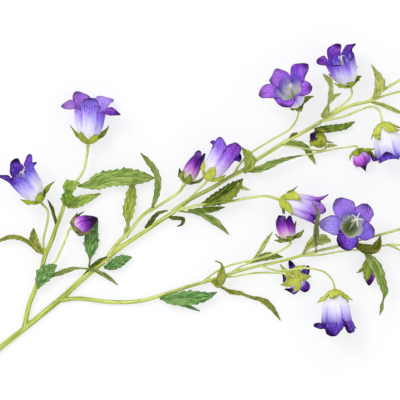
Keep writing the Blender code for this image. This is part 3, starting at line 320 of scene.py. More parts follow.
SMALL_LEAVES = {
    "w": ([(66, 206, 11), (67.5, 200, 14), (68.5, 191, 15.5)], (3, 9, 10.5, 9, 4), -6, 5, 3, "fresh"),
    "w_top": ([(65.5, 192, 12.5), (68.5, 187.5, 13.5), (74, 184.5, 14), (80, 182.5, 14)],
        (2, 10, 10, 5, 0.6), 5, 5, 3, "spring"),
    "thin": ([(41, 279, 6), (57, 274, 6), (75, 268.5, 8), (93, 270, 8.5), (107, 276.5, 8), (118, 285, 6)],
        (1.5, 3.2, 4, 1.5, 2.5, 3.5, 0.6), 5, 5, 8, "green"),
    "dark": ([(57, 228, 9), (54.5, 217, 11.5), (51.5, 207, 13), (47.5, 199.5, 14)],
        (1.5, 2.4, 2.6, 0.6), 5, 5, 3, "night"),
    "l9": ([(82, 278, 4), (90, 268.5, 6.5), (98, 261.5, 8), (107, 256.5, 8.5)],
        (1.5, 2.4, 3, 0.6), 5, 10, 3, "night"),
    "d": ([(237, 184, 15), (243, 188, 14), (250, 190, 13)], (3, 3, 0.6), 5, 0, 2, "sunny"),
    "left_1": ([(45, 255, 8), (38, 248, 10), (34, 240, 10), (33.5, 228, 9)],
        (1.5, 5.5, 7, 6, 0.6), 15, 0, 5, "olive"),
    "left_2": ([(36, 250, 9.5), (28, 242, 9), (18, 237.5, 8), (8, 237.5, 7), (-5, 243, 6)],
        (1.5, 3, 3.6, 3.6, 3, 0.6), 10, 10, 7, "olive"),
    "l10": ([(145, 228, 7), (151, 221.5, 8.5), (158, 213.5, 9.5), (168, 210.5, 9)],
        (1.5, 3.5, 3.6, 2.5, 0.6), 5, 20, 5, "night"),
    "l11": ([(166, 216.5, 7), (174, 218, 9), (183, 219, 9.5), (182, 224, 8), (177, 226.5, 7)],
        (1.2, 3, 3.2, 2.6, 0.6), 5, 10, 4, "night"),
    "a": ([(188, 210.5, 8), (200, 210.5, 7), (212, 209.5, 6), (225, 207, 5.5)],
        (1.5, 4, 5, 4, 0.6), 10, 0, 5, "dark"),
    "b": ([(179, 211, 7.2), (195, 213, 9), (207, 217, 10), (217, 223, 10), (229, 234.5, 8)],
        (1.2, 1.6, 3, 6, 4, 0.6), 10, 0, 6, "green"),
    "c": ([(202, 205, 10.3), (213, 200.5, 13), (225, 195, 15), (235, 187, 15), (243, 178.5, 13)],
        (3, 9, 12, 10, 0.6), 15, -12, 9, "split"),
    "e": ([(244, 173, 9.5), (249.5, 165, 12), (249, 157, 10), (242, 147.5, 7.5)],
        (2, 7.5, 9, 6, 0.6), 10, 5, 4, "lime"),
    "f": ([(246, 171.5, 9.5), (258, 170, 12), (268, 165.5, 13), (281, 160.5, 13), (302, 155, 12)],
        (1.5, 4, 6, 4, 2.5, 0.6), 10, 0, 8, "green"),
    "g": ([(285, 143.5, 9.5), (297, 143.5, 8), (306, 148, 6), (311, 156, 5), (315.5, 164.5, 4.5)],
        (2, 4.5, 5, 4.5, 0.6), 10, 0, 6, "mid"),
    "l": ([(371, 102, 10), (381, 104.5, 11), (392, 109, 11), (404, 115, 10)],
        (1.5, 3, 3.5, 3, 0.6), 8, 10, 4, "sunny"),
    "m": ([(316, 253, 6.6), (316, 238, 21), (317, 222, 32.5), (318.5, 213, 35.5), (312, 202, 36)],
        (1, 1.3, 4.6, 3.8, 2.6, 0.6), 8, 10, 6, "grey"),
    "q": ([(302, 255, 9), (309, 246, 12), (319, 239.5, 13), (331, 241, 12)],
        (1.5, 4, 8.5, 8.5, 2), 10, 0, 4, "sunny"),
    "bract": ([(325, 147.5, 11), (330, 145.6, 12), (337.3, 145.5, 11)], (2, 3, 0.5), 5, 0, 1, "sunny"),
    "r1": ([(251, 262.5, 11), (259, 253, 13), (265, 243, 14), (272.5, 232, 14)],
        (1.5, 2.8, 3.4, 0.6), 8, 10, 4, "sunny"),
    "r2": ([(250, 263, 11), (261, 258, 9), (270, 256, 8.5), (283, 257, 8)], (1.5, 5.5, 6, 0.6), 8, 0, 4,
        "green"),
    "n": ([(211, 281, 6.5), (219, 282, 13), (222, 273, 14), (221.5, 264, 14), (215, 261, 13)],
        (2, 8, 7, 2, 0.8), 12, 0, 4, "olive"),
    "o": ([(352, 243, 4.2), (359, 246.5, 8), (369, 249.5, 10), (376.5, 247, 11), (380.5, 236, 10)],
        (2, 5.5, 7.5, 6.5, 0.8), 12, 0, 3, "shade"),
    "sliver": ([(297.5, 133.2, 11), (293, 134.3, 11.5), (289, 138.3, 11)], (1.2, 2.2, 0.5), 5, 0, 1,
        "shade"),
    "t": ([(172, 292.5, 4.6), (176, 302, 6), (186, 305.5, 6), (200, 311, 4)], (1.5, 2.5, 3, 0.6), 5, 0, 4,
        "blue"),
    "end_1": ([(414, 88.5, 11), (424, 86, 11.5), (436, 89, 11)], (1.2, 5, 5, 0.6), 12, 0, 4, "lime"),
    "end_2": ([(408, 246, 10), (420, 246, 11), (432, 250, 10.5)], (1.2, 5, 5, 0.6), 12, 0, 4, "lime"),
    "end_3": ([(409, 256, 9), (417, 262, 9), (424, 272, 8)], (1.2, 4.5, 4.5, 0.6), 12, 0, 4, "lime"),
}
# Leaf colours: blade, shaded blade, veins, and, where a fourth is given, a lighter colour painted on one
# half of the blade as painted light, the blade colour standing as painted shade on the other half
LEAF_COLOURS = {
    "sunny": ((216, 222, 118), (136, 150, 47), (228, 230, 166)),
    "spring": ((194, 220, 106), (124, 158, 42), (210, 224, 144)),
    "mid": ((170, 198, 98), (98, 134, 40), (200, 210, 132)),
    "lime": ((188, 202, 84), (116, 142, 32), (216, 220, 138)),
    "green": ((165, 187, 92), (84, 119, 35), (195, 207, 132)),
    "fresh": ((142, 180, 58), (72, 116, 4), (182, 204, 100)),
    "blue": ((140, 188, 102), (58, 110, 38), (160, 194, 126)),
    "dark": ((160, 188, 66), (66, 96, 8), (178, 196, 98)),
    # split: a leaf folded along its midrib; its dark blade is the painted shaded half, its fourth colour the
    # painted lit half
    "split": ((90, 118, 8), (32, 54, 0), (140, 162, 50), (164, 178, 72)),
    "olive": ((172, 180, 70), (100, 108, 12), (204, 206, 122)),
    "night": ((104, 124, 30), (26, 38, 0), (140, 158, 70)),
    "shade": ((166, 166, 60), (72, 70, 4), (162, 162, 74)),
    "grey": ((150, 160, 100), (92, 106, 54), (186, 192, 144)),
}
# The margins and tips of petals
NIGHT = (38, 2, 72)
# Runs of colour from the base of a petal to its tip, cool and warm, outside and inside
TUBE_COOL = ((0, (214, 216, 178)), (0.07, (242, 242, 240)), (0.26, (244, 242, 254)), (0.4, (210, 206, 254)),
             (0.54, (150, 134, 246)), (0.72, (114, 80, 228)), (1, (80, 38, 178)))
TUBE_WARM = ((0, (214, 214, 178)), (0.07, (242, 240, 240)), (0.26, (244, 234, 252)), (0.4, (226, 198, 252)),
             (0.54, (190, 128, 242)), (0.72, (158, 76, 224)), (1, (104, 26, 168)))
THROAT_COOL = ((0, (142, 180, 50)), (0.12, (194, 214, 124)), (0.22, (246, 248, 240)),
               (0.34, (236, 236, 252)), (0.44, (184, 174, 244)), (0.56, (124, 96, 230)),
               (0.75, (110, 68, 218)), (1, (88, 42, 178)))
THROAT_WARM = ((0, (142, 180, 50)), (0.12, (194, 214, 124)), (0.22, (246, 248, 240)),
               (0.34, (234, 230, 250)), (0.44, (182, 164, 242)), (0.56, (138, 92, 230)),
               (0.75, (168, 86, 228)), (1, (126, 40, 178)))
BUD_OUT = ((0, (184, 180, 104)), (0.1, (222, 210, 190)), (0.24, (240, 206, 240)), (0.42, (212, 124, 244)),
           (0.6, (156, 62, 192)), (0.76, (70, 10, 92)), (1, (34, 4, 44)))
BUD_IN = ((0, (60, 20, 70)), (0.5, (48, 8, 66)), (1, (40, 4, 52)))
OPEN_BUD_OUT = ((0, (184, 180, 104)), (0.13, (204, 196, 134)), (0.21, (232, 212, 216)),
                (0.31, (208, 134, 222)), (0.42, (156, 66, 196)), (0.53, (104, 28, 136)),
                (0.66, (46, 6, 60)), (1, (28, 2, 36)))
DARK_BUD_OUT = ((0, (196, 188, 140)), (0.12, (234, 216, 220)), (0.27, (230, 176, 244)),
                (0.42, (176, 88, 216)), (0.55, (112, 34, 154)), (0.68, (48, 6, 66)), (1, (26, 2, 34)))
DARK_BUDS = ("b3", "b10")
# Calyxes: bright, dull and dark patches
CALYX_COLOURS = {
    "green": ((176, 188, 46), (146, 160, 34), (92, 108, 10)),
    "bright": ((208, 218, 92), (182, 192, 58), (116, 124, 14)),
    "split": ((188, 196, 58), (110, 122, 22), (58, 66, 4)),
    "leafy": ((150, 172, 62), (120, 142, 36), (64, 70, 8)),
    "dark": ((144, 138, 72), (84, 74, 20), (32, 24, 2)),
}
# From the foot of the style to the tips of its arms
PISTIL_RUN = ((0, (150, 165, 90)), (0.5, (205, 208, 160)), (0.8, (238, 236, 222)), (1, (246, 244, 236)))


def place(point):
    """A plan place in metres, seen from the eye as the photograph shows it."""
    across, down, height = point
    z = height * MM
    scale = PIXEL * (EYE_HEIGHT - z) / EYE_HEIGHT
    x = (across - FRAME_MIDDLE) * scale - PLAN_CENTRE[0]
    y = (FRAME_MIDDLE - down) * scale - PLAN_CENTRE[1]
    return np.array([x, y, z])


def unit(vector):
    return vector / np.maximum(np.linalg.norm(vector, axis=-1, keepdims=True), 1e-12)


def distances(points):
    """How far along the line each point lies."""
    return np.concatenate([[0], np.cumsum(np.linalg.norm(np.diff(points, axis=0), axis=1))])


def spot_at(distance, along, points):
    return np.array([np.interp(distance, along, axis) for axis in points.T])


def hump(value, width):
    """A smooth hump of height 1 where the value is zero."""
    return math.exp(-(value / width) ** 2)


def smooth_curve(points, count):
    """Evenly spaced points on a smooth curve through the given ones."""
    points = np.array(points, float)
    ends = np.vstack([2 * points[0] - points[1], points, 2 * points[-1] - points[-2]])
    dense = []
    for i in range(len(points) - 1):
        a, b, c, d = ends[i:i + 4]
        for t in np.linspace(0, 1, 24, endpoint=False):
            dense.append(0.5 * (2 * b + (c - a) * t + (2 * a - 5 * b + 4 * c - d) * t ** 2
                                + (3 * b - a - 3 * c + d) * t ** 3))
    dense = np.array(dense + [points[-1]])
    along = distances(dense)
    return spot_at(np.linspace(0, along[-1], count), along, dense).T


def settle(points, lowest):
    """Press what is near the table or under it to just above the lowest height."""
    bend = lowest + SETTLE_DEPTH
    z = points[..., 2]
    pressed = lowest + SETTLE_DEPTH * np.exp((z - bend) / SETTLE_DEPTH)
    points[..., 2] = np.where(z < bend, pressed, z)
    return points


def srgb(colour):
    """8-bit sRGB to linear, with alpha."""
    out = []
    for value in colour:
        v = value / 255
        out.append(v / 12.92 if v <= 0.04045 else ((v + 0.055) / 1.055) ** 2.4)
    return (*out, 1.0)


class Shell:
    """A sheet of faces with places across (u) and along (v) it, made into a closed solid."""

    def __init__(self, foot=None):
        self.points = [] if foot is None else [np.array([0, 0, foot])]
        self.faces = []
        self.uvs = []

    def grid(self, index, us, vs):
        """Quads over a grid of point numbers; us and vs are the places of its columns and rows."""
        for r in range(len(index) - 1):
            for c in range(len(index[r]) - 1):
                face, uv = [], []
                for i, j in ((r, c), (r, c + 1), (r + 1, c + 1), (r + 1, c)):
                    if index[i][j] not in face:
                        face.append(index[i][j])
                        uv.append((us[j], vs[i]))
                if len(face) > 2:
                    self.faces.append(face)
                    self.uvs.append(uv)

    def fifth(self, ring, k, columns):
        """Point numbers of one fifth of a ring, its ends shared with the next fifths."""
        start = 1 + ring * PETALS * columns
        return [start + (k * columns + i) % (PETALS * columns) for i in range(columns + 1)]

    def ring(self, spot, columns, turn, stand_out):
        """Add a ring in fifths, at a height and a radius that stand_out multiplies."""
        height, radius = spot
        for i in range(PETALS * columns):
            u = 2 * (i % columns) / columns - 1
            angle = (i / columns) * 2 * SECTOR + turn
            self.points.append(around_axis(angle, radius * stand_out(u, angle), height))

    def blade(self, seam, rows, row_points, tip, low):
        """Rows of points from a seam to a tip; the places along it run from low to 1."""
        index = [seam]
        for row in range(1, rows):
            first = len(self.points)
            self.points += row_points(row)
            index.append(list(range(first, len(self.points))))
        index.append([len(self.points)] * len(seam))
        self.points.append(tip)
        self.grid(index, np.linspace(-1, 1, len(seam)), np.linspace(low, 1, rows + 1))

    def cup(self, rings, columns, top):
        """Quads in fifths from the first point, over the rings that follow it, up to place top."""
        us = np.linspace(-1, 1, columns + 1)
        vs = np.linspace(0, top, rings + 1)
        for k in range(PETALS):
            index = [[0] * (columns + 1)] + [self.fifth(ring, k, columns) for ring in range(rings)]
            self.grid(index, us, vs)

    def make(self, name, thickness, material, node, values=None):
        points = np.array(self.points)
        normals = np.zeros_like(points)
        for face in self.faces:
            a, b, c = points[face[0]], points[face[1]], points[face[-1]]
            normals[face] += np.cross(b - a, c - a)
        normals = unit(normals)
        count = len(points)
        outer = points + normals * thickness / 2
        inner = points - normals * thickness / 2
        edges = {}
        faces, uvs = [], []
        for face, uv in zip(self.faces, self.uvs):
            faces += [tuple(face), tuple(i + count for i in reversed(face))]
            uvs += [uv, uv[::-1]]
            for i in range(len(face)):
                j = (i + 1) % len(face)
                edges[(face[i], face[j])] = (uv[i], uv[j])
        for (a, b), (ua, ub) in edges.items():
            if (b, a) not in edges:
                faces.append((b, a, a + count, b + count))
                uvs.append([ub, ua, ua, ub])
        values = {"inside": np.repeat([0.0, 1.0], count), **(values or {})}
        return add_piece(name, np.vstack([outer, inner]), faces, uvs, material, node, values)


def add_piece(name, points, faces, uvs, material, node, values=None):
    mesh = bpy.data.meshes.new(name)
    mesh.from_pydata([tuple(v) for v in points], [], [tuple(f) for f in faces])
    if uvs is not None:
        layer = mesh.uv_layers.new(name="place")
        layer.data.foreach_set("uv", np.array([c for uv in uvs for c in uv], float).ravel())
    for key, array in (values or {}).items():
        mesh.attributes.new(key, "FLOAT", "POINT").data.foreach_set("value", array)
    mesh.shade_smooth()
    mesh.materials.append(material)
    made = bpy.data.objects.new(name, mesh)
    bpy.context.scene.collection.objects.link(made)
    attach(made, "root")
    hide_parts(node)
    return made


# Materials

class Value:
    """A socket of a node tree that takes plain arithmetic."""

    def __init__(self, material, socket):
        self.material = material
        self.socket = socket

    def __add__(self, other):
        return self.material.maths("ADD", self, other)

    def __sub__(self, other):
        return self.material.maths("SUBTRACT", self, other)

    def __rsub__(self, other):
        return self.material.maths("SUBTRACT", other, self)

    def __mul__(self, other):
        return self.material.maths("MULTIPLY", self, other)

    def __abs__(self):
        return self.material.maths("ABSOLUTE", self)


class Material:
    """A node material, the colour it has so far, and short ways to add to it."""

    def __init__(self, name):
        self.material = bpy.data.materials.new(name)
        self.material.use_nodes = True
        self.tree = self.material.node_tree
        self.shader = self.tree.nodes["Principled BSDF"]
        self.colour = None

    def put(self, socket, value):
        """Link a value or set a constant; three numbers are an 8-bit sRGB colour."""
        if isinstance(value, Value):
            self.tree.links.new(value.socket, socket)
        elif isinstance(value, tuple) and len(value) == 3:
            socket.default_value = srgb(value)
        else:
            socket.default_value = value

    def add(self, kind, output, inputs=None, **settings):
        """The output of a new node with these settings and inputs."""
        made = self.tree.nodes.new(kind)
        for key, setting in settings.items():
            setattr(made, key, setting)
        for key, value in (inputs or {}).items():
            self.put(made.inputs[key], value)
        return Value(self, made.outputs[output])

    def maths(self, operation, a, b=0.0, clamp=False):
        return self.add("ShaderNodeMath", 0, {0: a, 1: b}, operation=operation, use_clamp=clamp)

    def larger(self, a, b):
        return self.maths("MAXIMUM", a, b)

    def clamp(self, value):
        """The value, kept between 0 and 1."""
        return self.maths("ADD", value, 0.0, clamp=True)

    def ripple(self, value):
        """Rounded arches that meet in sharp lines at zero."""
        return abs(self.maths("SINE", value))

    def mix(self, share, a, b):
        return self.add("ShaderNodeMix", "Result", {"Factor": share, "A": a, "B": b}, data_type="RGBA")

    def paint(self, share, colour):
        """Lay a share of a colour over the colour so far."""
        self.colour = self.mix(share, self.colour, colour)

    def span(self, value, low, high):
        """0 to 1 while the value goes from low to high, eased at both ends."""
        inputs = {"Value": value, "From Min": low, "From Max": high}
        return self.add("ShaderNodeMapRange", "Result", inputs, interpolation_type="SMOOTHSTEP")

    def ramp(self, value, stops):
        made = self.tree.nodes.new("ShaderNodeValToRGB")
        self.put(made.inputs["Fac"], value)
        elements = made.color_ramp.elements
        while len(elements) < len(stops):
            elements.new(0.5)
        for element, (position, colour) in zip(elements, stops):
            element.position = position
            element.color = srgb(colour)
        return Value(self, made.outputs["Color"])

    def vector(self, x, y, z=0.0):
        return self.add("ShaderNodeCombineXYZ", 0, {0: x, 1: y, 2: z})

    def space(self):
        return self.add("ShaderNodeTexCoord", "Object")

    def noise(self, scale, detail=3.0, vector=None, roughness=0.55):
        inputs = {"Vector": vector or self.space(), "Scale": scale, "Detail": detail, "Roughness": roughness}
        return self.add("ShaderNodeTexNoise", "Fac", inputs)

    def stray(self, scale, detail, amount):
        """Noise about zero."""
        return (self.noise(scale, detail) - 0.5) * amount

    def place(self):
        """The places across and along the sheet."""
        uv = self.add("ShaderNodeUVMap", 0, uv_map="place")
        return tuple(self.add("ShaderNodeSeparateXYZ", axis, {0: uv}) for axis in "XY")

    def attribute(self, name, output="Fac"):
        return self.add("ShaderNodeAttribute", output, attribute_type="GEOMETRY", attribute_name=name)

    def bump(self, height, distance, strength):
        inputs = {"Height": height, "Distance": distance, "Strength": strength}
        self.put(self.shader.inputs["Normal"], self.add("ShaderNodeBump", "Normal", inputs))

    def finish(self, roughness, glow, specular=0.35):
        """Colour, roughness and gloss, with a share of light let through from behind."""
        self.put(self.shader.inputs["Base Color"], self.colour)
        self.put(self.shader.inputs["Roughness"], roughness)
        self.shader.inputs["Specular IOR Level"].default_value = specular
        if glow:
            through = self.add("ShaderNodeBsdfTranslucent", 0, {"Color": self.colour})
            skin = Value(self, self.shader.outputs[0])
            both = self.add("ShaderNodeMixShader", 0, {0: glow, 1: skin, 2: through})
            self.put(self.tree.nodes["Material Output"].inputs["Surface"], both)
        return self.material


def leaf_material(name):
    """Leaves: midrib, slanting side veins, a net of fine veins and mottled greens, with painted shade beside
    the midrib and, on split leaves, a painted lit half.
    """
    blade, shade, vein, *lit_half = LEAF_COLOURS[name]
    m = Material("leaf_" + name)
    u, v = m.place()
    waver = m.stray(120, 2, 0.16)
    off = abs(u + waver)
    slant = v * SIDE_VEINS - off * 2.6
    ridge = abs(m.maths("FRACT", slant + waver) - 0.5)
    side_vein = m.span(ridge, 0.09, 0.015) * m.span(off, 1.0, 0.5)
    midrib = m.span(off, 0.09, 0.02)
    cells = m.add("ShaderNodeTexVoronoi", "Distance", {"Vector": m.space(), "Scale": VEIN_NET_SCALE},
                  feature="DISTANCE_TO_EDGE")
    net = m.span(cells, 0.1, 0.0)
    lines = m.larger(m.larger(side_vein * 0.6, midrib * 0.8), net * 0.35)
    mottle = m.noise(1.0, 4, m.vector(slant * 1.3, u * 1.6, m.noise(12, 1) * 6.0), 0.65)
    streak = m.noise(1.0, 3, m.vector((u + waver) * 5.0, v * 5.0, m.noise(12, 1) * 9.0), 0.6)
    broad = m.noise(60, 3)
    light = m.mix(0.7, blade, vein)
    m.colour = m.mix(m.span(mottle, 0.38, 0.62), shade, blade)
    # Painted light and shade: on a split leaf the half below u = 0 takes the lighter lit colour, the rest
    # keeps the dark blade as its shaded half
    if lit_half:
        m.paint(m.span(u, 0.05, -0.1) * 0.85, lit_half[0])
    m.paint(m.span(broad, 0.52, 0.72) * 0.7, light)
    m.paint(m.span(broad, 0.46, 0.28) * 0.75, shade)
    m.paint(m.span(ridge, 0.22, 0.48) * 0.12, shade)
    m.paint(m.span(streak, 0.53, 0.62) * 0.9, shade)
    m.paint(m.span(streak, 0.46, 0.37) * 0.9, light)
    # Painted shade: a darker band along one side of the midrib, standing in for the shadow of the fold
    painted_fold_shade = m.span(u, 0.0, 0.05) * m.span(u, 0.2, 0.07)
    m.paint(painted_fold_shade * 0.6, shade)
    m.paint(lines * 0.5, vein)
    m.paint(m.span(off, 0.84, 1.0) * 0.55, m.mix(m.span(mottle, 0.45, 0.55), shade, vein))
    m.paint(m.attribute("inside") * 0.35, vein)
    m.bump(lines * -1.0 + (mottle + streak) * 0.9, 0.0006, 0.9)
    return m.finish(mottle * 0.3 + 0.4, 0.2, 0.22)


def calyx_material(name, bright, dull, dark):
    """Sepals: broad patches of green, ribs, a pale foot, and dark margins and tips."""
    m = Material(name)
    u, v = m.place()
    off = abs(u)
    mottle = m.noise(220, 4)
    wave = m.ripple(u * 9.5)
    m.colour = m.mix(m.span(m.noise(70, 2), 0.36, 0.66), bright, dull)
    m.paint(m.span(mottle, 0.5, 0.7) * 0.6, dark)
    m.paint(m.span(off, 0.16, 0.02) * 0.35, (205, 215, 110))
    m.paint(m.span(off, 0.72, 1.0) * m.span(v, 0.4, 0.6) * 0.55, dark)
    m.paint(m.span(v, 0.84, 1.0) * 0.7, dark)
    m.paint(m.span(wave, 0.4, 0.05) * 0.45, dark)
    m.paint(m.span(v, 0.16, 0.0) * 0.6, (196, 206, 110))
    m.bump(wave * 0.5 + mottle, 0.0005, 0.8)
    return m.finish(mottle * 0.3 + 0.38, 0.15, 0.25)


def petal_material(name, outside, inside):
    """Petals: cool and warm runs of colour from base to tip, streaks, veins and dark margins."""
    m = Material(name)
    u, v = m.place()
    off = abs(u)
    deep = m.attribute("deep")
    darker = m.larger(deep, 0.0)
    streak = m.noise(1.0, 4, m.vector(u * 3.2, v * 1.5, m.noise(25, 1) * 9.0)) - 0.5
    shift = m.attribute("reach") * m.span(v, 0.05, 0.3)
    pleat = m.span(off, 0.6, 1.0) * m.span(v, 0.1, 0.45) * 0.07
    along = m.clamp(v + m.stray(90, 3, 0.12) + streak * 0.3 + shift + pleat)
    warm = m.clamp(m.attribute("warm") + streak * 0.9)
    sides = [m.mix(warm, m.ramp(along, cool), m.ramp(along, hot)) for cool, hot in (outside, inside)]
    m.colour = m.mix(m.attribute("inside"), *sides)
    blush = m.span(v, 0.34, 0.62)
    m.paint(darker * blush * 0.72, (60, 4, 138))
    m.paint(m.larger(deep * -1.0, 0.0) * blush * 0.9, m.mix(warm, (200, 192, 254), (232, 184, 248)))
    across = u + m.stray(170, 4, 0.42)
    veins = m.span(m.ripple(across * LOBE_VEINS), 0.42, 0.06)
    net = m.span(m.ripple(v * 26.0 - abs(across) * 9.0), 0.3, 0.05)
    lines = m.larger(veins, net * 0.5)
    m.paint(lines * m.clamp(m.span(v, 0.38, 0.7) + 0.08) * 0.82, (58, 8, 136))
    hair = m.noise(1.0, 3, m.vector(across * 9.0, v * 7.0, m.noise(25, 1) * 9.0))
    on_lobe = m.span(v, 0.4, 0.6)
    m.paint(m.span(hair, 0.52, 0.66) * on_lobe * 0.5, (72, 30, 150))
    m.paint(m.span(hair, 0.47, 0.33) * on_lobe * 0.4, m.mix(warm, (176, 162, 252), (214, 160, 246)))
    patch = m.span(m.noise(150, 3), 0.42, 0.68) * m.span(v, 0.5, 0.66)
    m.paint(patch * m.clamp(0.5 - deep * 0.45), m.mix(warm, (148, 128, 250), (198, 120, 240)))
    ragged = m.stray(220, 2, 0.5)
    rim = m.span(off + ragged, 0.8, 1.04) * m.span(v, 0.54, 0.64)
    tip = m.span(v + ragged * 0.2 + darker * 0.07, 0.87, 0.99)
    m.paint(m.clamp(m.larger(rim, tip) * (deep * 0.35 + 0.82)), NIGHT)
    grain = m.noise(1100, 3)
    m.bump(lines * -0.6 + grain * 0.5 + streak * 1.2, 0.0004, 0.7)
    return m.finish(grain * 0.25 + 0.42, 0.22, 0.1)


def bud_material(name, run, seam):
    """Furled petals: a run of colours along the bud, dark seams where one petal laps the next, and a painted
    highlight along the middle of each fold.
    """
    m = Material(name)
    u, v = m.place()
    streak = m.noise(1.0, 4, m.vector(u * 16.0, v * 2.0)) - 0.5
    fold = m.maths("FRACT", u * 5.0)
    wave = m.ripple(u * BUD_VEINS)
    m.colour = m.ramp(m.clamp(v + m.stray(110, 3, 0.16) + streak * 0.45), run)
    seam_line = m.larger(m.span(fold, 0.86, 1.0), m.span(fold, 0.1, 0.0))
    m.paint(seam_line * m.span(v, 0.05, 0.4) * 0.7, seam)
    m.paint(m.span(wave, 0.4, 0.05) * m.span(v, 0.1, 0.5) * 0.35, seam)
    # Painted highlight: a pale pink band on the rounded middle of each furled petal, fading out towards the
    # tip
    painted_highlight = m.span(fold, 0.3, 0.6) * m.span(streak, 0.02, 0.2)
    m.paint(painted_highlight * m.span(v, 0.85, 0.4) * 0.6, (222, 150, 240))
    grain = m.noise(900, 3)
    m.bump(wave * 0.6 + grain * 0.5, 0.0003, 0.6)
    return m.finish(grain * 0.2 + 0.38, 0.12, 0.1)


def stem_material():
    """Stems: streaks along the grain and small brown spots, paler where a stem is thin."""
    m = Material("stem_skin")
    streak = m.noise(1.0, 3, m.attribute("grain", "Vector"))
    mottle = m.noise(260, 4)
    thick = m.mix(m.span(m.noise(24, 2), 0.38, 0.62), (178, 188, 74), (140, 156, 40))
    m.colour = m.mix(m.attribute("thin"), thick, (203, 210, 124))
    m.paint(m.span(streak, 0.52, 0.62) * 0.85, (108, 126, 18))
    m.paint(m.span(streak, 0.47, 0.36) * 0.7, (230, 234, 170))
    m.paint(m.span(mottle, 0.6, 0.7) * 0.5, (112, 110, 34))
    m.bump(streak + mottle * 0.35, 0.0006, 0.8)
    return m.finish(mottle * 0.3 + 0.36, 0.0, 0.4)


def pistil_material():
    m = Material("pistil_cream")
    mottle = m.noise(900, 3)
    m.colour = m.ramp(m.place()[1], PISTIL_RUN)
    m.paint(m.span(mottle, 0.5, 0.8) * 0.3, (190, 186, 150))
    m.bump(mottle, 0.0002, 0.6)
    return m.finish(0.6, 0.1)


# Shapes

def around_axis(angle, radius=1.0, height=0.0):
    """The place at an angle round a bloom's axis, a radius out and a height up."""
    return np.array([radius * math.cos(angle), radius * math.sin(angle), height])


def beside(out):
    """The level direction across an outward one."""
    return np.array([-out[1], out[0], 0])


def turned(side, normal, angle):
    return (side * math.cos(angle) + normal * math.sin(angle),
            normal * math.cos(angle) - side * math.sin(angle))


def phase_of(name):
    """A number of its own for each piece, so that no two have the same waves."""
    return sum(map(ord, name))


def frame_of(name):
    """The base of a bloom or bud, and its side, top and axis as directions in the world."""
    base = STALKS[name][1][-1]
    if name in BUDS:
        target, rise = BUDS[name][:2]
        roll = 0
    else:
        target, rise, roll = {**BLOOMS, **OPENING}[name][:3]
    rise = math.radians(rise)
    heading = unit(np.array([target[0] - base[0], base[1] - target[1], 0.0]))
    axis = heading * math.cos(rise) + np.array([0, 0, math.sin(rise)])
    side = unit(np.cross((0, 0, 1), axis))
    x, y = turned(side, np.cross(axis, side), math.radians(roll))
    return place(base), np.array([x, y, axis])


def profile_of(name):
    """Heights along the axis and radii of a corolla."""
    if name in BLOOMS:
        size = BLOOMS[name][3]
        start, length, radius, outline = BELL_START, size, size * GIRTH.get(name, 1.0), BELL
    elif name in OPENING:
        start, length, radius, outline = BUD_START, 1, 1, OPENING[name][3]
    else:
        start, (length, radius, outline) = BUD_START, BUDS[name][2:5]
    return np.array([(start + a * length * MM, r * radius * MM) for a, r in outline])


def ribbon(start, direction, tip, run_on, count):
    """Points along a bent line from start, leaving in a direction and ending at tip; its tangents."""
    reach = np.linalg.norm(tip - start)
    middle = start + direction * reach * run_on
    t = np.linspace(0, 1, count)[:, None]
    points = (1 - t) ** 2 * start + 2 * t * (1 - t) * middle + t ** 2 * tip
    tangents = unit(2 * (1 - t) * (middle - start) + 2 * t * (tip - middle))
    return points, tangents


def tube_rib(u, share, angle, phase):
    """How far a bell's tube stands out: broad petals, pleats, waves, a midrib and side grooves."""
    broad = 0.04 * share * math.cos(math.pi * u / 2)
    pleat = 0.1 * share ** 1.5 * hump(1 - abs(u), 0.15)
    waves = 0.02 * share * math.sin(3 * angle + 4 * share + phase)
    midrib = 0.04 * share * hump(u, 0.1)
    grooves = 0.03 * share * hump(abs(u) - 0.45, 0.1)
    return 1 + broad - pleat + waves + midrib - grooves


def cup_rib(u, share):
    """How far a calyx's cup stands out: five broad parts with a rib up each."""
    return 1 + 0.06 * share * math.cos(math.pi * u / 2) + 0.07 * share * hump(u, 0.2)


def leave_rim(out, rim, slope, tip, run_on, count):
    """The spine of a blade that leaves a rim outwards, follows its slope and ends at a tip."""
    start = out * rim[1] + np.array([0, 0, rim[0]])
    direction = out * slope[1] + np.array([0, 0, slope[0]])
    return ribbon(start, direction, tip, run_on, count)


def across_from(out, tangent):
    """The direction across a blade that stands at this side of the axis."""
    return unit(beside(out) - tangent * np.dot(beside(out), tangent))


def lobe_wobble(u, t, k, phase, length, mouth):
    """How far a lobe's surface leaves its curve: ruffles, a crease down the middle and a turned hem."""
    lag = 1.7 if u > 0 else 0
    ruffle = 0.05 * length * abs(u) ** 2.5 * math.sin(7 * t + 2.1 * k + phase + lag)
    crease = 0.05 * mouth * (1 - t) * hump(u, 0.12)
    hem = 0.06 * length * abs(u) ** 4 * math.sin(math.pi * t)
    return (ruffle + crease - hem) * min(1, 3 * t)


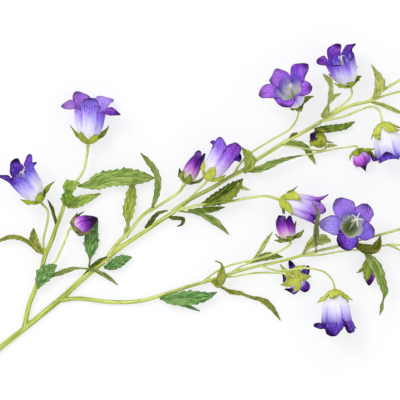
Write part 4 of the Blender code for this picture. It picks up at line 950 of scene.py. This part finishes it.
def add_lobe(shell, k, lobe, tip, rim, slope, seam, phase, roundness, rows, columns):
    """One free lobe from the rim of the bell to its tip."""
    _, width, run_on, twist, _ = lobe
    mouth = rim[1]
    out = around_axis(k * 2 * SECTOR)
    spine, tangents = leave_rim(out, rim, slope, tip, run_on, rows + 1)
    length = distances(spine)[-1]
    edge = [shell.points[i] for i in seam]

    def row_points(row):
        t = row / rows
        side = across_from(out, tangents[row])
        side, normal = turned(side, np.cross(side, tangents[row]), math.radians(twist) * min(1, 1.6 * t))
        curl = (1 - t) ** 1.6
        fill = (1 - t ** roundness) ** 0.55 * (1 + 0.1 * t)
        half = mouth * (math.sin(SECTOR) * curl + width * math.tan(SECTOR) * (1 - curl)) * fill
        for i, u in enumerate(np.linspace(-1, 1, columns + 1)):
            frill = 1 + 0.06 * u * u * math.sin(12 * t + 1.9 * k + phase + (2.4 if u > 0 else 0))
            reach = half * frill * math.sin(SECTOR * u) / math.sin(SECTOR)
            sag = curl * mouth * (1 - math.cos(SECTOR * u))
            wobble = lobe_wobble(u, t, k, phase, length, mouth)
            point = spine[row] + side * reach - normal * (sag - wobble)
            if t < SEAM_REACH:
                flat = spine[0] + side * reach - normal * sag
                point = point + (edge[i] - flat) * (1 - t / SEAM_REACH) ** 2 * (1 - t)
            yield point

    shell.blade(seam, rows, row_points, spine[-1], 0.5)


def petal_tints(own, k, us, share):
    """A petal's tints across it, with a share of the next petal's towards each seam."""
    for u in us:
        neighbour = own[(k + (1 if u > 0 else -1)) % PETALS]
        yield own[k] + (neighbour - own[k]) * 0.5 * abs(u) ** 2 * share


def bell_tints(own, warmth, columns, tube_rows, lobe_rows):
    """The tints of every point of a bell, in the order in which its points are added."""
    yield own.mean(axis=0) * (warmth, 1, 1)
    us = np.linspace(-1, 1, columns + 1)
    for row in range(1, tube_rows + 1):
        warm = warmth + (1 - warmth) * (row / tube_rows) ** 4
        for k in range(PETALS):
            for tints in petal_tints(own, k, us[:-1], 1):
                yield tints * (warm, 1, 1)
    for k in range(PETALS):
        for row in range(1, lobe_rows):
            yield from petal_tints(own, k, us, max(0, 1 - 2 * row / lobe_rows))
        yield own[k]


def bell(name, material, node, columns=14, tube_rows=20, lobe_rows=16):
    """A tube of five petals with pleats between them, ribs along them and free lobes."""
    base, axes = frame_of(name)
    in_bloom = name in BLOOMS
    lobes = BLOOMS[name][4] if in_bloom else OPENING[name][4]
    line = smooth_curve(profile_of(name), tube_rows + 1)
    slope = unit(line[-1] - line[-3])
    phase = phase_of(name)
    shell = Shell(line[0][0])
    for row in range(1, tube_rows + 1):
        share = row / tube_rows
        shell.ring(line[row], columns, -SECTOR, lambda u, angle: tube_rib(u, share, angle, phase))
    shell.cup(tube_rows, columns, 0.5)
    for k, lobe in enumerate(lobes):
        tip = axes @ (place(lobe[0]) - base)
        seam = shell.fifth(tube_rows - 1, k, columns)
        roundness = ROUNDNESS.get(name, LOBE_ROUNDNESS)
        add_lobe(shell, k, lobe, tip, line[-1], slope, seam, phase, roundness, lobe_rows, columns)
    shell.points = settle(base + np.array(shell.points) @ axes, PETAL / 2 + FLOOR_CLEAR)
    own = np.array([lobe[4] for lobe in lobes])
    warmth = TUBE_WARMTH.get(name, TUBE_WARMTH_SHARE if in_bloom else 1.0)
    tints = list(bell_tints(own, warmth, columns, tube_rows, lobe_rows))
    values = dict(zip(("warm", "deep", "reach"), np.array(tints + tints).T))
    shell.make(node, PETAL, material, node, values)


def closed_bud(name, material, node, around=60, rows=36):
    """Five petals furled round each other into a spindle with overlapping, twisted folds."""
    base, axes = frame_of(name)
    line = smooth_curve(profile_of(name), rows + 1)
    shell = Shell(line[0][0])
    for row in range(1, rows):
        a, r = line[row]
        share = row / rows
        twist = math.radians(BUDS[name][5]) * share ** 1.3
        for i in range(around):
            angle = 2 * math.pi * i / around
            fold = (PETALS * (angle - twist) / (2 * math.pi)) % 1
            lip = 0.13 * (fold - 0.5) * min(1, 3 * share) * min(1, (1 - fold) * 9)
            shell.points.append(around_axis(angle, r * (1 + lip), a))
    index = [[1 + row * around + i % around for i in range(around + 1)] for row in range(rows - 1)]
    index = [[0] * (around + 1), *index, [len(shell.points)] * (around + 1)]
    shell.points.append(np.array([0, 0, line[-1][0]]))
    shell.grid(index, np.arange(around + 1) / around, np.arange(rows + 1) / rows)
    world = settle(base + np.array(shell.points) @ axes, FLOOR_CLEAR)
    add_piece(node, world, shell.faces, shell.uvs, material, node)


def add_sepal(shell, k, out, spine, tangents, half_width, mouth, up, rows, columns, seam):
    """One pointed sepal along its spine; where up is given, its face is turned towards it."""

    def row_points(row):
        t = row / rows
        side = across_from(out, tangents[row])
        if up is not None:
            flat = unit(np.cross(up, tangents[row]))
            flat = flat if np.dot(flat, side) > 0 else -flat
            side = unit(side + (flat - side) * SEPAL_FACING * min(1, 2.5 * t))
        normal = np.cross(side, tangents[row])
        curl = (1 - t) ** 4
        blade = half_width * MM * (0.8 + 0.5 * math.sin(math.pi * min(1, 1.25 * t))) * (1 - t) ** 0.55
        half = mouth * math.sin(SECTOR) * curl + blade * (1 - curl)
        for u in np.linspace(-1, 1, columns + 1):
            across = half * math.sin(SECTOR * u) / math.sin(SECTOR)
            sag = curl * mouth * (1 - math.cos(SECTOR * u)) + (1 - curl) * half * 0.3 * u * u
            crease = 0.12 * half * hump(u, 0.2) * min(1, 3 * t)
            ruffle = 0.08 * half * u * math.sin(9 * t + k)
            yield spine[row] + side * across - normal * (sag - crease - ruffle)

    shell.blade(seam, rows, row_points, spine[-1], 0.4)


def calyx(name, material, rng, rows=10, cup_rows=7, columns=10):
    """A green cup under the petals with five pointed sepals."""
    base, axes = frame_of(name)
    line = smooth_curve(profile_of(name), 80)
    tangent = unit(np.gradient(line, axis=0))
    outward = np.column_stack([-tangent[:, 1], tangent[:, 0]])
    along = distances(line)
    reach, stand_off = BUD_SEPALS.get(name, BLOOM_SEPALS)
    rim = CUP_REACH.get(name, CUP_SHARE) * along[-1]
    turn = math.radians(CALYX_TURN.get(name, 0))

    def wall(distance, lift=0.0):
        """Height and radius of the place that far along the petals and lifted off the cup."""
        off = spot_at(distance, along, outward) * (CALYX_OFFSET + lift)
        return spot_at(distance, along, line) + off

    shell = Shell(wall(0)[0] - 0.4 * MM)
    for row in range(1, cup_rows + 1):
        share = row / cup_rows
        shell.ring(wall(rim * share), columns, turn, lambda u, _: cup_rib(u, share))
    shell.cup(cup_rows, columns, 0.4)
    edge = wall(rim)
    slope = unit(edge - wall(rim * 0.9))
    chosen = SEPALS.get(name, (None,) * PETALS)
    up = axes @ np.array([0, 0, 1.0])
    for k in range(PETALS):
        out = around_axis((2 * k + 1) * SECTOR + turn)
        tip_lift = stand_off * MM * (0.6 + 0.8 * rng.random())
        length = reach * MM * (0.9 + 0.25 * rng.random())
        a, r = wall(rim + length, 0.35 * MM + tip_lift)
        tip, run_on = out * r + np.array([0, 0, a]), 0.5
        half_width = BLOOM_SEPAL_HALF if name in BLOOMS else BUD_SEPAL_HALF
        if chosen[k]:
            target, half_width, run_on = chosen[k]
            tip = axes @ (place(target) - base)
        spine, tangents = leave_rim(out, edge, slope, tip, run_on, rows + 1)
        seam = shell.fifth(cup_rows - 1, k, columns)
        add_sepal(shell, k, out, spine, tangents, half_width, edge[1], up if chosen[k] else None,
                  rows, columns, seam)
    shell.points = settle(base + np.array(shell.points) @ axes, SEPAL / 2 + FLOOR_CLEAR)
    shell.make("calyx_" + name, SEPAL, material, "calyx_" + name)


def saw(value):
    """Teeth that rise slowly towards the tip and fall back quickly."""
    step = value % 1
    return step / 0.75 if step < 0.75 else (1 - step) / 0.25


def leaf(name, spec, materials, node, columns=12):
    """A toothed blade over its route, with a folded midrib, side veins and waves."""
    route, widths, fold, roll, teeth, colour = spec
    rows = max(28, 7 * teeth)
    centre = smooth_curve([place(p) for p in route], rows + 1)
    share = np.linspace(0, 1, rows + 1)
    curve = smooth_curve(np.column_stack([np.linspace(0, 1, len(widths)), np.array(widths) * MM]), 120)
    width = np.maximum(np.interp(share, *curve.T), 0.25 * MM)
    tangents = unit(np.gradient(centre, axis=0)[:, :2])
    across = np.column_stack([-tangents[:, 1], tangents[:, 0], np.zeros(rows + 1)])
    slope_fold, slope_roll = math.tan(math.radians(fold)), math.tan(math.radians(roll))
    phase = phase_of(name)
    shell = Shell()
    us = np.linspace(-1, 1, columns + 1)
    for i in range(rows + 1):
        at_tooth = teeth * share[i]
        for u in us:
            side = 1 if u > 0 else -1
            step = at_tooth + 0.35 * side
            depth = 0.24 * (1 + 0.6 * math.sin(2.4 * math.floor(step) + phase + side))
            offset = u * width[i] / 2 * (1 + depth * (saw(step) - 0.5) * abs(u) ** 3)
            waves = 0.09 * u * u * math.sin(2 * math.pi * at_tooth * 0.35 + side * 1.3 + phase)
            veins = 0.02 * abs(u) * math.sin(2 * math.pi * (at_tooth - abs(u) * 1.1))
            midrib = 0.05 * hump(u, 0.16)
            lift = abs(offset) * slope_fold + offset * slope_roll + width[i] * (waves + veins - midrib)
            shell.points.append(centre[i] + across[i] * offset + np.array([0, 0, lift]))
    shell.points = settle(np.array(shell.points), LEAF / 2 + FLOOR_CLEAR)
    index = np.arange(len(shell.points)).reshape(rows + 1, columns + 1)
    shell.grid(index[:, ::-1].tolist(), us[::-1], share)
    shell.make(name, LEAF, materials[colour], node)


def add_tube(vertices, faces, points, radii, sides):
    """Rings round the points, closed at both ends; gives its faces as numbers within the tube."""
    first = len(vertices)
    strides = unit(np.diff(points, axis=0))
    tangents = unit(np.vstack([strides[:1], strides[:-1] + strides[1:], strides[-1:]]))
    side = unit(np.cross(tangents[0], (0, 0, 1)))
    for point, tangent, radius in zip(points, tangents, radii):
        side = unit(side - tangent * np.dot(side, tangent))
        down = np.cross(tangent, side)
        for k in range(sides):
            angle = (k + 0.5) * 2 * math.pi / sides
            vertices.append(point + radius * (math.cos(angle) * down + math.sin(angle) * side))
    own = []
    for ring in range(len(points) - 1):
        for k in range(sides):
            a, b = ring * sides + k, ring * sides + (k + 1) % sides
            own.append((a, b, b + sides, a + sides))
    last = (len(points) - 1) * sides
    own.append(tuple(reversed(range(sides))))
    own.append(tuple(last + k for k in range(sides)))
    faces += [tuple(i + first for i in face) for face in own]
    return own


def stem_routes():
    """Each stem and stalk as points and radii, with how pale it is."""
    for name, (start, end, route) in STEMS.items():
        points = smooth_curve([place(p) for p in route], max(8, 3 * len(route)))
        yield points, np.linspace(start, end, len(points)) * MM, PALENESS.get(name, STEM_PALENESS)
    for name, (radius, route) in STALKS.items():
        base, axes = frame_of(name)
        ends = [base - axes[2] * STRAIGHT_END, base + axes[2] * INTO_CUP]
        points = smooth_curve([place(p) for p in route[:-1]] + ends, 5 * len(route))
        radii = np.full(len(points), radius * MM)
        radii[-3:] *= STALK_SWELLING
        yield points, radii, PALENESS.get(name, STALK_PALENESS)


def middle_samples(points, thin, start_at):
    """Spots along a stem's middle, each with its direction, distance and paleness."""
    along = distances(points)
    for d in np.arange(0, along[-1], GRAIN_STEP):
        pale = thin[0] + (thin[1] - thin[0]) * d / along[-1]
        spot = spot_at(d, along, points)
        ahead = spot_at(d + GRAIN_STEP / 2, along, points)
        yield spot, unit(ahead - spot + 1e-9), d + start_at, pale


def grow_together(made, material):
    """Melt a piece's overlapping tubes into one skin."""
    remesh = made.modifiers.new("remesh", "REMESH")
    remesh.mode = "VOXEL"
    remesh.voxel_size = STEM_VOXEL
    smooth = made.modifiers.new("smooth", "SMOOTH")
    smooth.factor = 0.5
    smooth.iterations = 4
    evaluated = made.evaluated_get(bpy.context.evaluated_depsgraph_get())
    mesh = bpy.data.meshes.new_from_object(evaluated)
    made.modifiers.clear()
    made.data = mesh
    mesh.shade_smooth()
    mesh.materials.clear()
    mesh.materials.append(material)
    return mesh


def stem(material):
    """All the stems grown together, with a grain that runs along them."""
    vertices, faces, samples = [], [], []
    for points, radii, thin in stem_routes():
        add_tube(vertices, faces, points, radii, STEM_SIDES)
        samples += list(middle_samples(points, thin, GRAIN_SHIFT * len(samples)))
    mesh = grow_together(add_piece("stems", vertices, faces, None, material, "stem"), material)
    tree = kdtree.KDTree(len(samples))
    for i, sample in enumerate(samples):
        tree.insert(Vector(sample[0]), i)
    tree.balance()
    grain = np.zeros((len(mesh.vertices), 3))
    thin = np.zeros(len(mesh.vertices))
    for i, vertex in enumerate(mesh.vertices):
        spot, tangent, distance, pale = samples[tree.find(vertex.co)[1]]
        off = np.array(vertex.co) - spot
        distance += float(np.dot(off, tangent))
        x, y, z = unit(off - tangent * np.dot(off, tangent))
        grain[i] = x * 3.2 + z * 1.9, y * 3.2 + z * 1.9, distance * 50
        thin[i] = pale
    mesh.attributes.new("grain", "FLOAT_VECTOR", "POINT").data.foreach_set("vector", grain.ravel())
    mesh.attributes.new("thin", "FLOAT", "POINT").data.foreach_set("value", thin)


def pistil(name, material):
    """A slim style with a star of five curled arms at its end, and pale threads round it."""
    base, axes = frame_of(name)
    size = BLOOMS[name][3]
    start = np.array([0, 0, BELL_START + 1.1 * MM])
    centre, arm_length, arm_radius = np.array([0, 0, BELL_START + 21 * MM * size]), 4.2, 0.45
    if name in PISTILS:
        target, arm_length, arm_radius = PISTILS[name]
        centre = axes @ (place(target) - base)
    style = centre - start
    up = unit(style)
    vertices, faces, uvs = [], [], []

    def add(route, count, thick, thin, low, high, sides=8):
        """A tube over the route; its places along run from low to high."""
        points = smooth_curve(route, count)
        for face in add_tube(vertices, faces, points, np.linspace(thick, thin, count) * MM, sides):
            uvs.append([(0.5, low + (high - low) * (i // sides) / (count - 1)) for i in face])

    bend = start * 0.45 + centre * 0.55 + np.array([0.5, 0.4, 0]) * MM
    add([start, bend, centre], 10, 1.3, 0.75, 0.0, 0.7)
    for k in range(PETALS):
        angle = (2 * k + 0.6) * SECTOR
        out = around_axis(angle) * arm_length * (0.85 + 0.1 * ((3 * k) % 4)) * MM
        arm = [centre - up * MM, centre + out * 0.35 + up * 0.9 * MM,
               centre + out * 0.75 + up * 0.9 * MM, centre + out - up * 0.3 * MM]
        add(arm, 9, arm_radius, 0.55 * arm_radius, 0.75, 1.0)
        out = around_axis(angle + 0.7 * SECTOR) * MM
        thread = [start + out * 2.2, start + out * 5.5 * size + style * 0.4,
                  start + out * 7.2 * size + style * 0.75,
                  start + out * (6.0 + 0.8 * (k % 3)) * size + style * (0.98 + 0.06 * (k % 2))]
        add(thread, 10, 0.22, 0.14, 0.8, 1.0, 6)
    world = settle(base + np.array(vertices) @ axes, FLOOR_CLEAR)
    add_piece("pistil_" + name, world, faces, uvs, material, "pistil_" + name)


def build_pieces():
    stem(stem_material())
    greens = {name: leaf_material(name) for name in LEAF_COLOURS}
    for name, spec in LEAVES.items():
        leaf(name, spec, greens, name)
    leaf("leaf_13_side", SIDE_LEAFLET, greens, "leaf_13")
    for name, spec in SMALL_LEAVES.items():
        leaf("leaflet_" + name, spec, greens, "stem")
    rng = np.random.default_rng(SEED)
    cups = {name: calyx_material("calyx_" + name, *colours) for name, colours in CALYX_COLOURS.items()}
    for name in STALKS:
        calyx(name, cups[CALYX_TINTS.get(name, "green")], rng)
    petals = petal_material("petals", (TUBE_COOL, TUBE_WARM), (THROAT_COOL, THROAT_WARM))
    cream = pistil_material()
    for name in BLOOMS:
        bell(name, petals, "corolla_" + name)
        pistil(name, cream)
    closed = bud_material("buds", BUD_OUT, (44, 4, 58))
    closed_dark = bud_material("dark_buds", DARK_BUD_OUT, (36, 2, 50))
    for name in BUDS:
        closed_bud(name, closed_dark if name in DARK_BUDS else closed, "bud_" + name)
    opening = petal_material("opening_buds", (OPEN_BUD_OUT, OPEN_BUD_OUT), (BUD_IN, BUD_IN))
    for name in OPENING:
        bell(name, opening, "bud_" + name)


def build_stage():
    mesh = bpy.data.meshes.new("table")
    corners = [(x * TABLE_HALF, y * TABLE_HALF, 0) for x, y in ((-1, -1), (1, -1), (1, 1), (-1, 1))]
    mesh.from_pydata(corners, [], [(0, 1, 2, 3)])
    table = bpy.data.objects.new("table", mesh)
    bpy.context.scene.collection.objects.link(table)
    m = Material("table_white")
    m.colour = m.mix(m.noise(4, 2), *TABLE_COLOURS)
    m.put(m.shader.inputs["Emission Color"], TABLE_GLOW)
    m.put(m.shader.inputs["Emission Strength"], TABLE_GLOW_STRENGTH)
    mesh.materials.append(m.finish(0.85, 0.0, 0.1))


def build_light():
    world = bpy.data.worlds.new("studio")
    bpy.context.scene.world = world
    world.use_nodes = True
    background = world.node_tree.nodes["Background"]
    background.inputs["Color"].default_value = (1, 1, 1, 1)
    background.inputs["Strength"].default_value = SKY_STRENGTH
    for name, (spot, size, power) in LAMPS.items():
        data = bpy.data.lights.new(name, "AREA")
        data.energy = power
        data.size = size
        lamp = bpy.data.objects.new(name, data)
        lamp.location = spot
        lamp.rotation_euler = Vector(spot).to_track_quat("Z", "Y").to_euler()
        bpy.context.scene.collection.objects.link(lamp)


def build_camera():
    data = bpy.data.cameras.new("camera")
    data.sensor_width = SENSOR
    data.lens = SENSOR * EYE_HEIGHT / FRAME_WIDTH
    camera = bpy.data.objects.new("camera", data)
    camera.location = (-PLAN_CENTRE[0], -PLAN_CENTRE[1], EYE_HEIGHT)
    bpy.context.scene.collection.objects.link(camera)
    bpy.context.scene.camera = camera
    bpy.context.scene.view_settings.view_transform = "Standard"


build_pieces()
build_stage()
build_light()
build_camera()
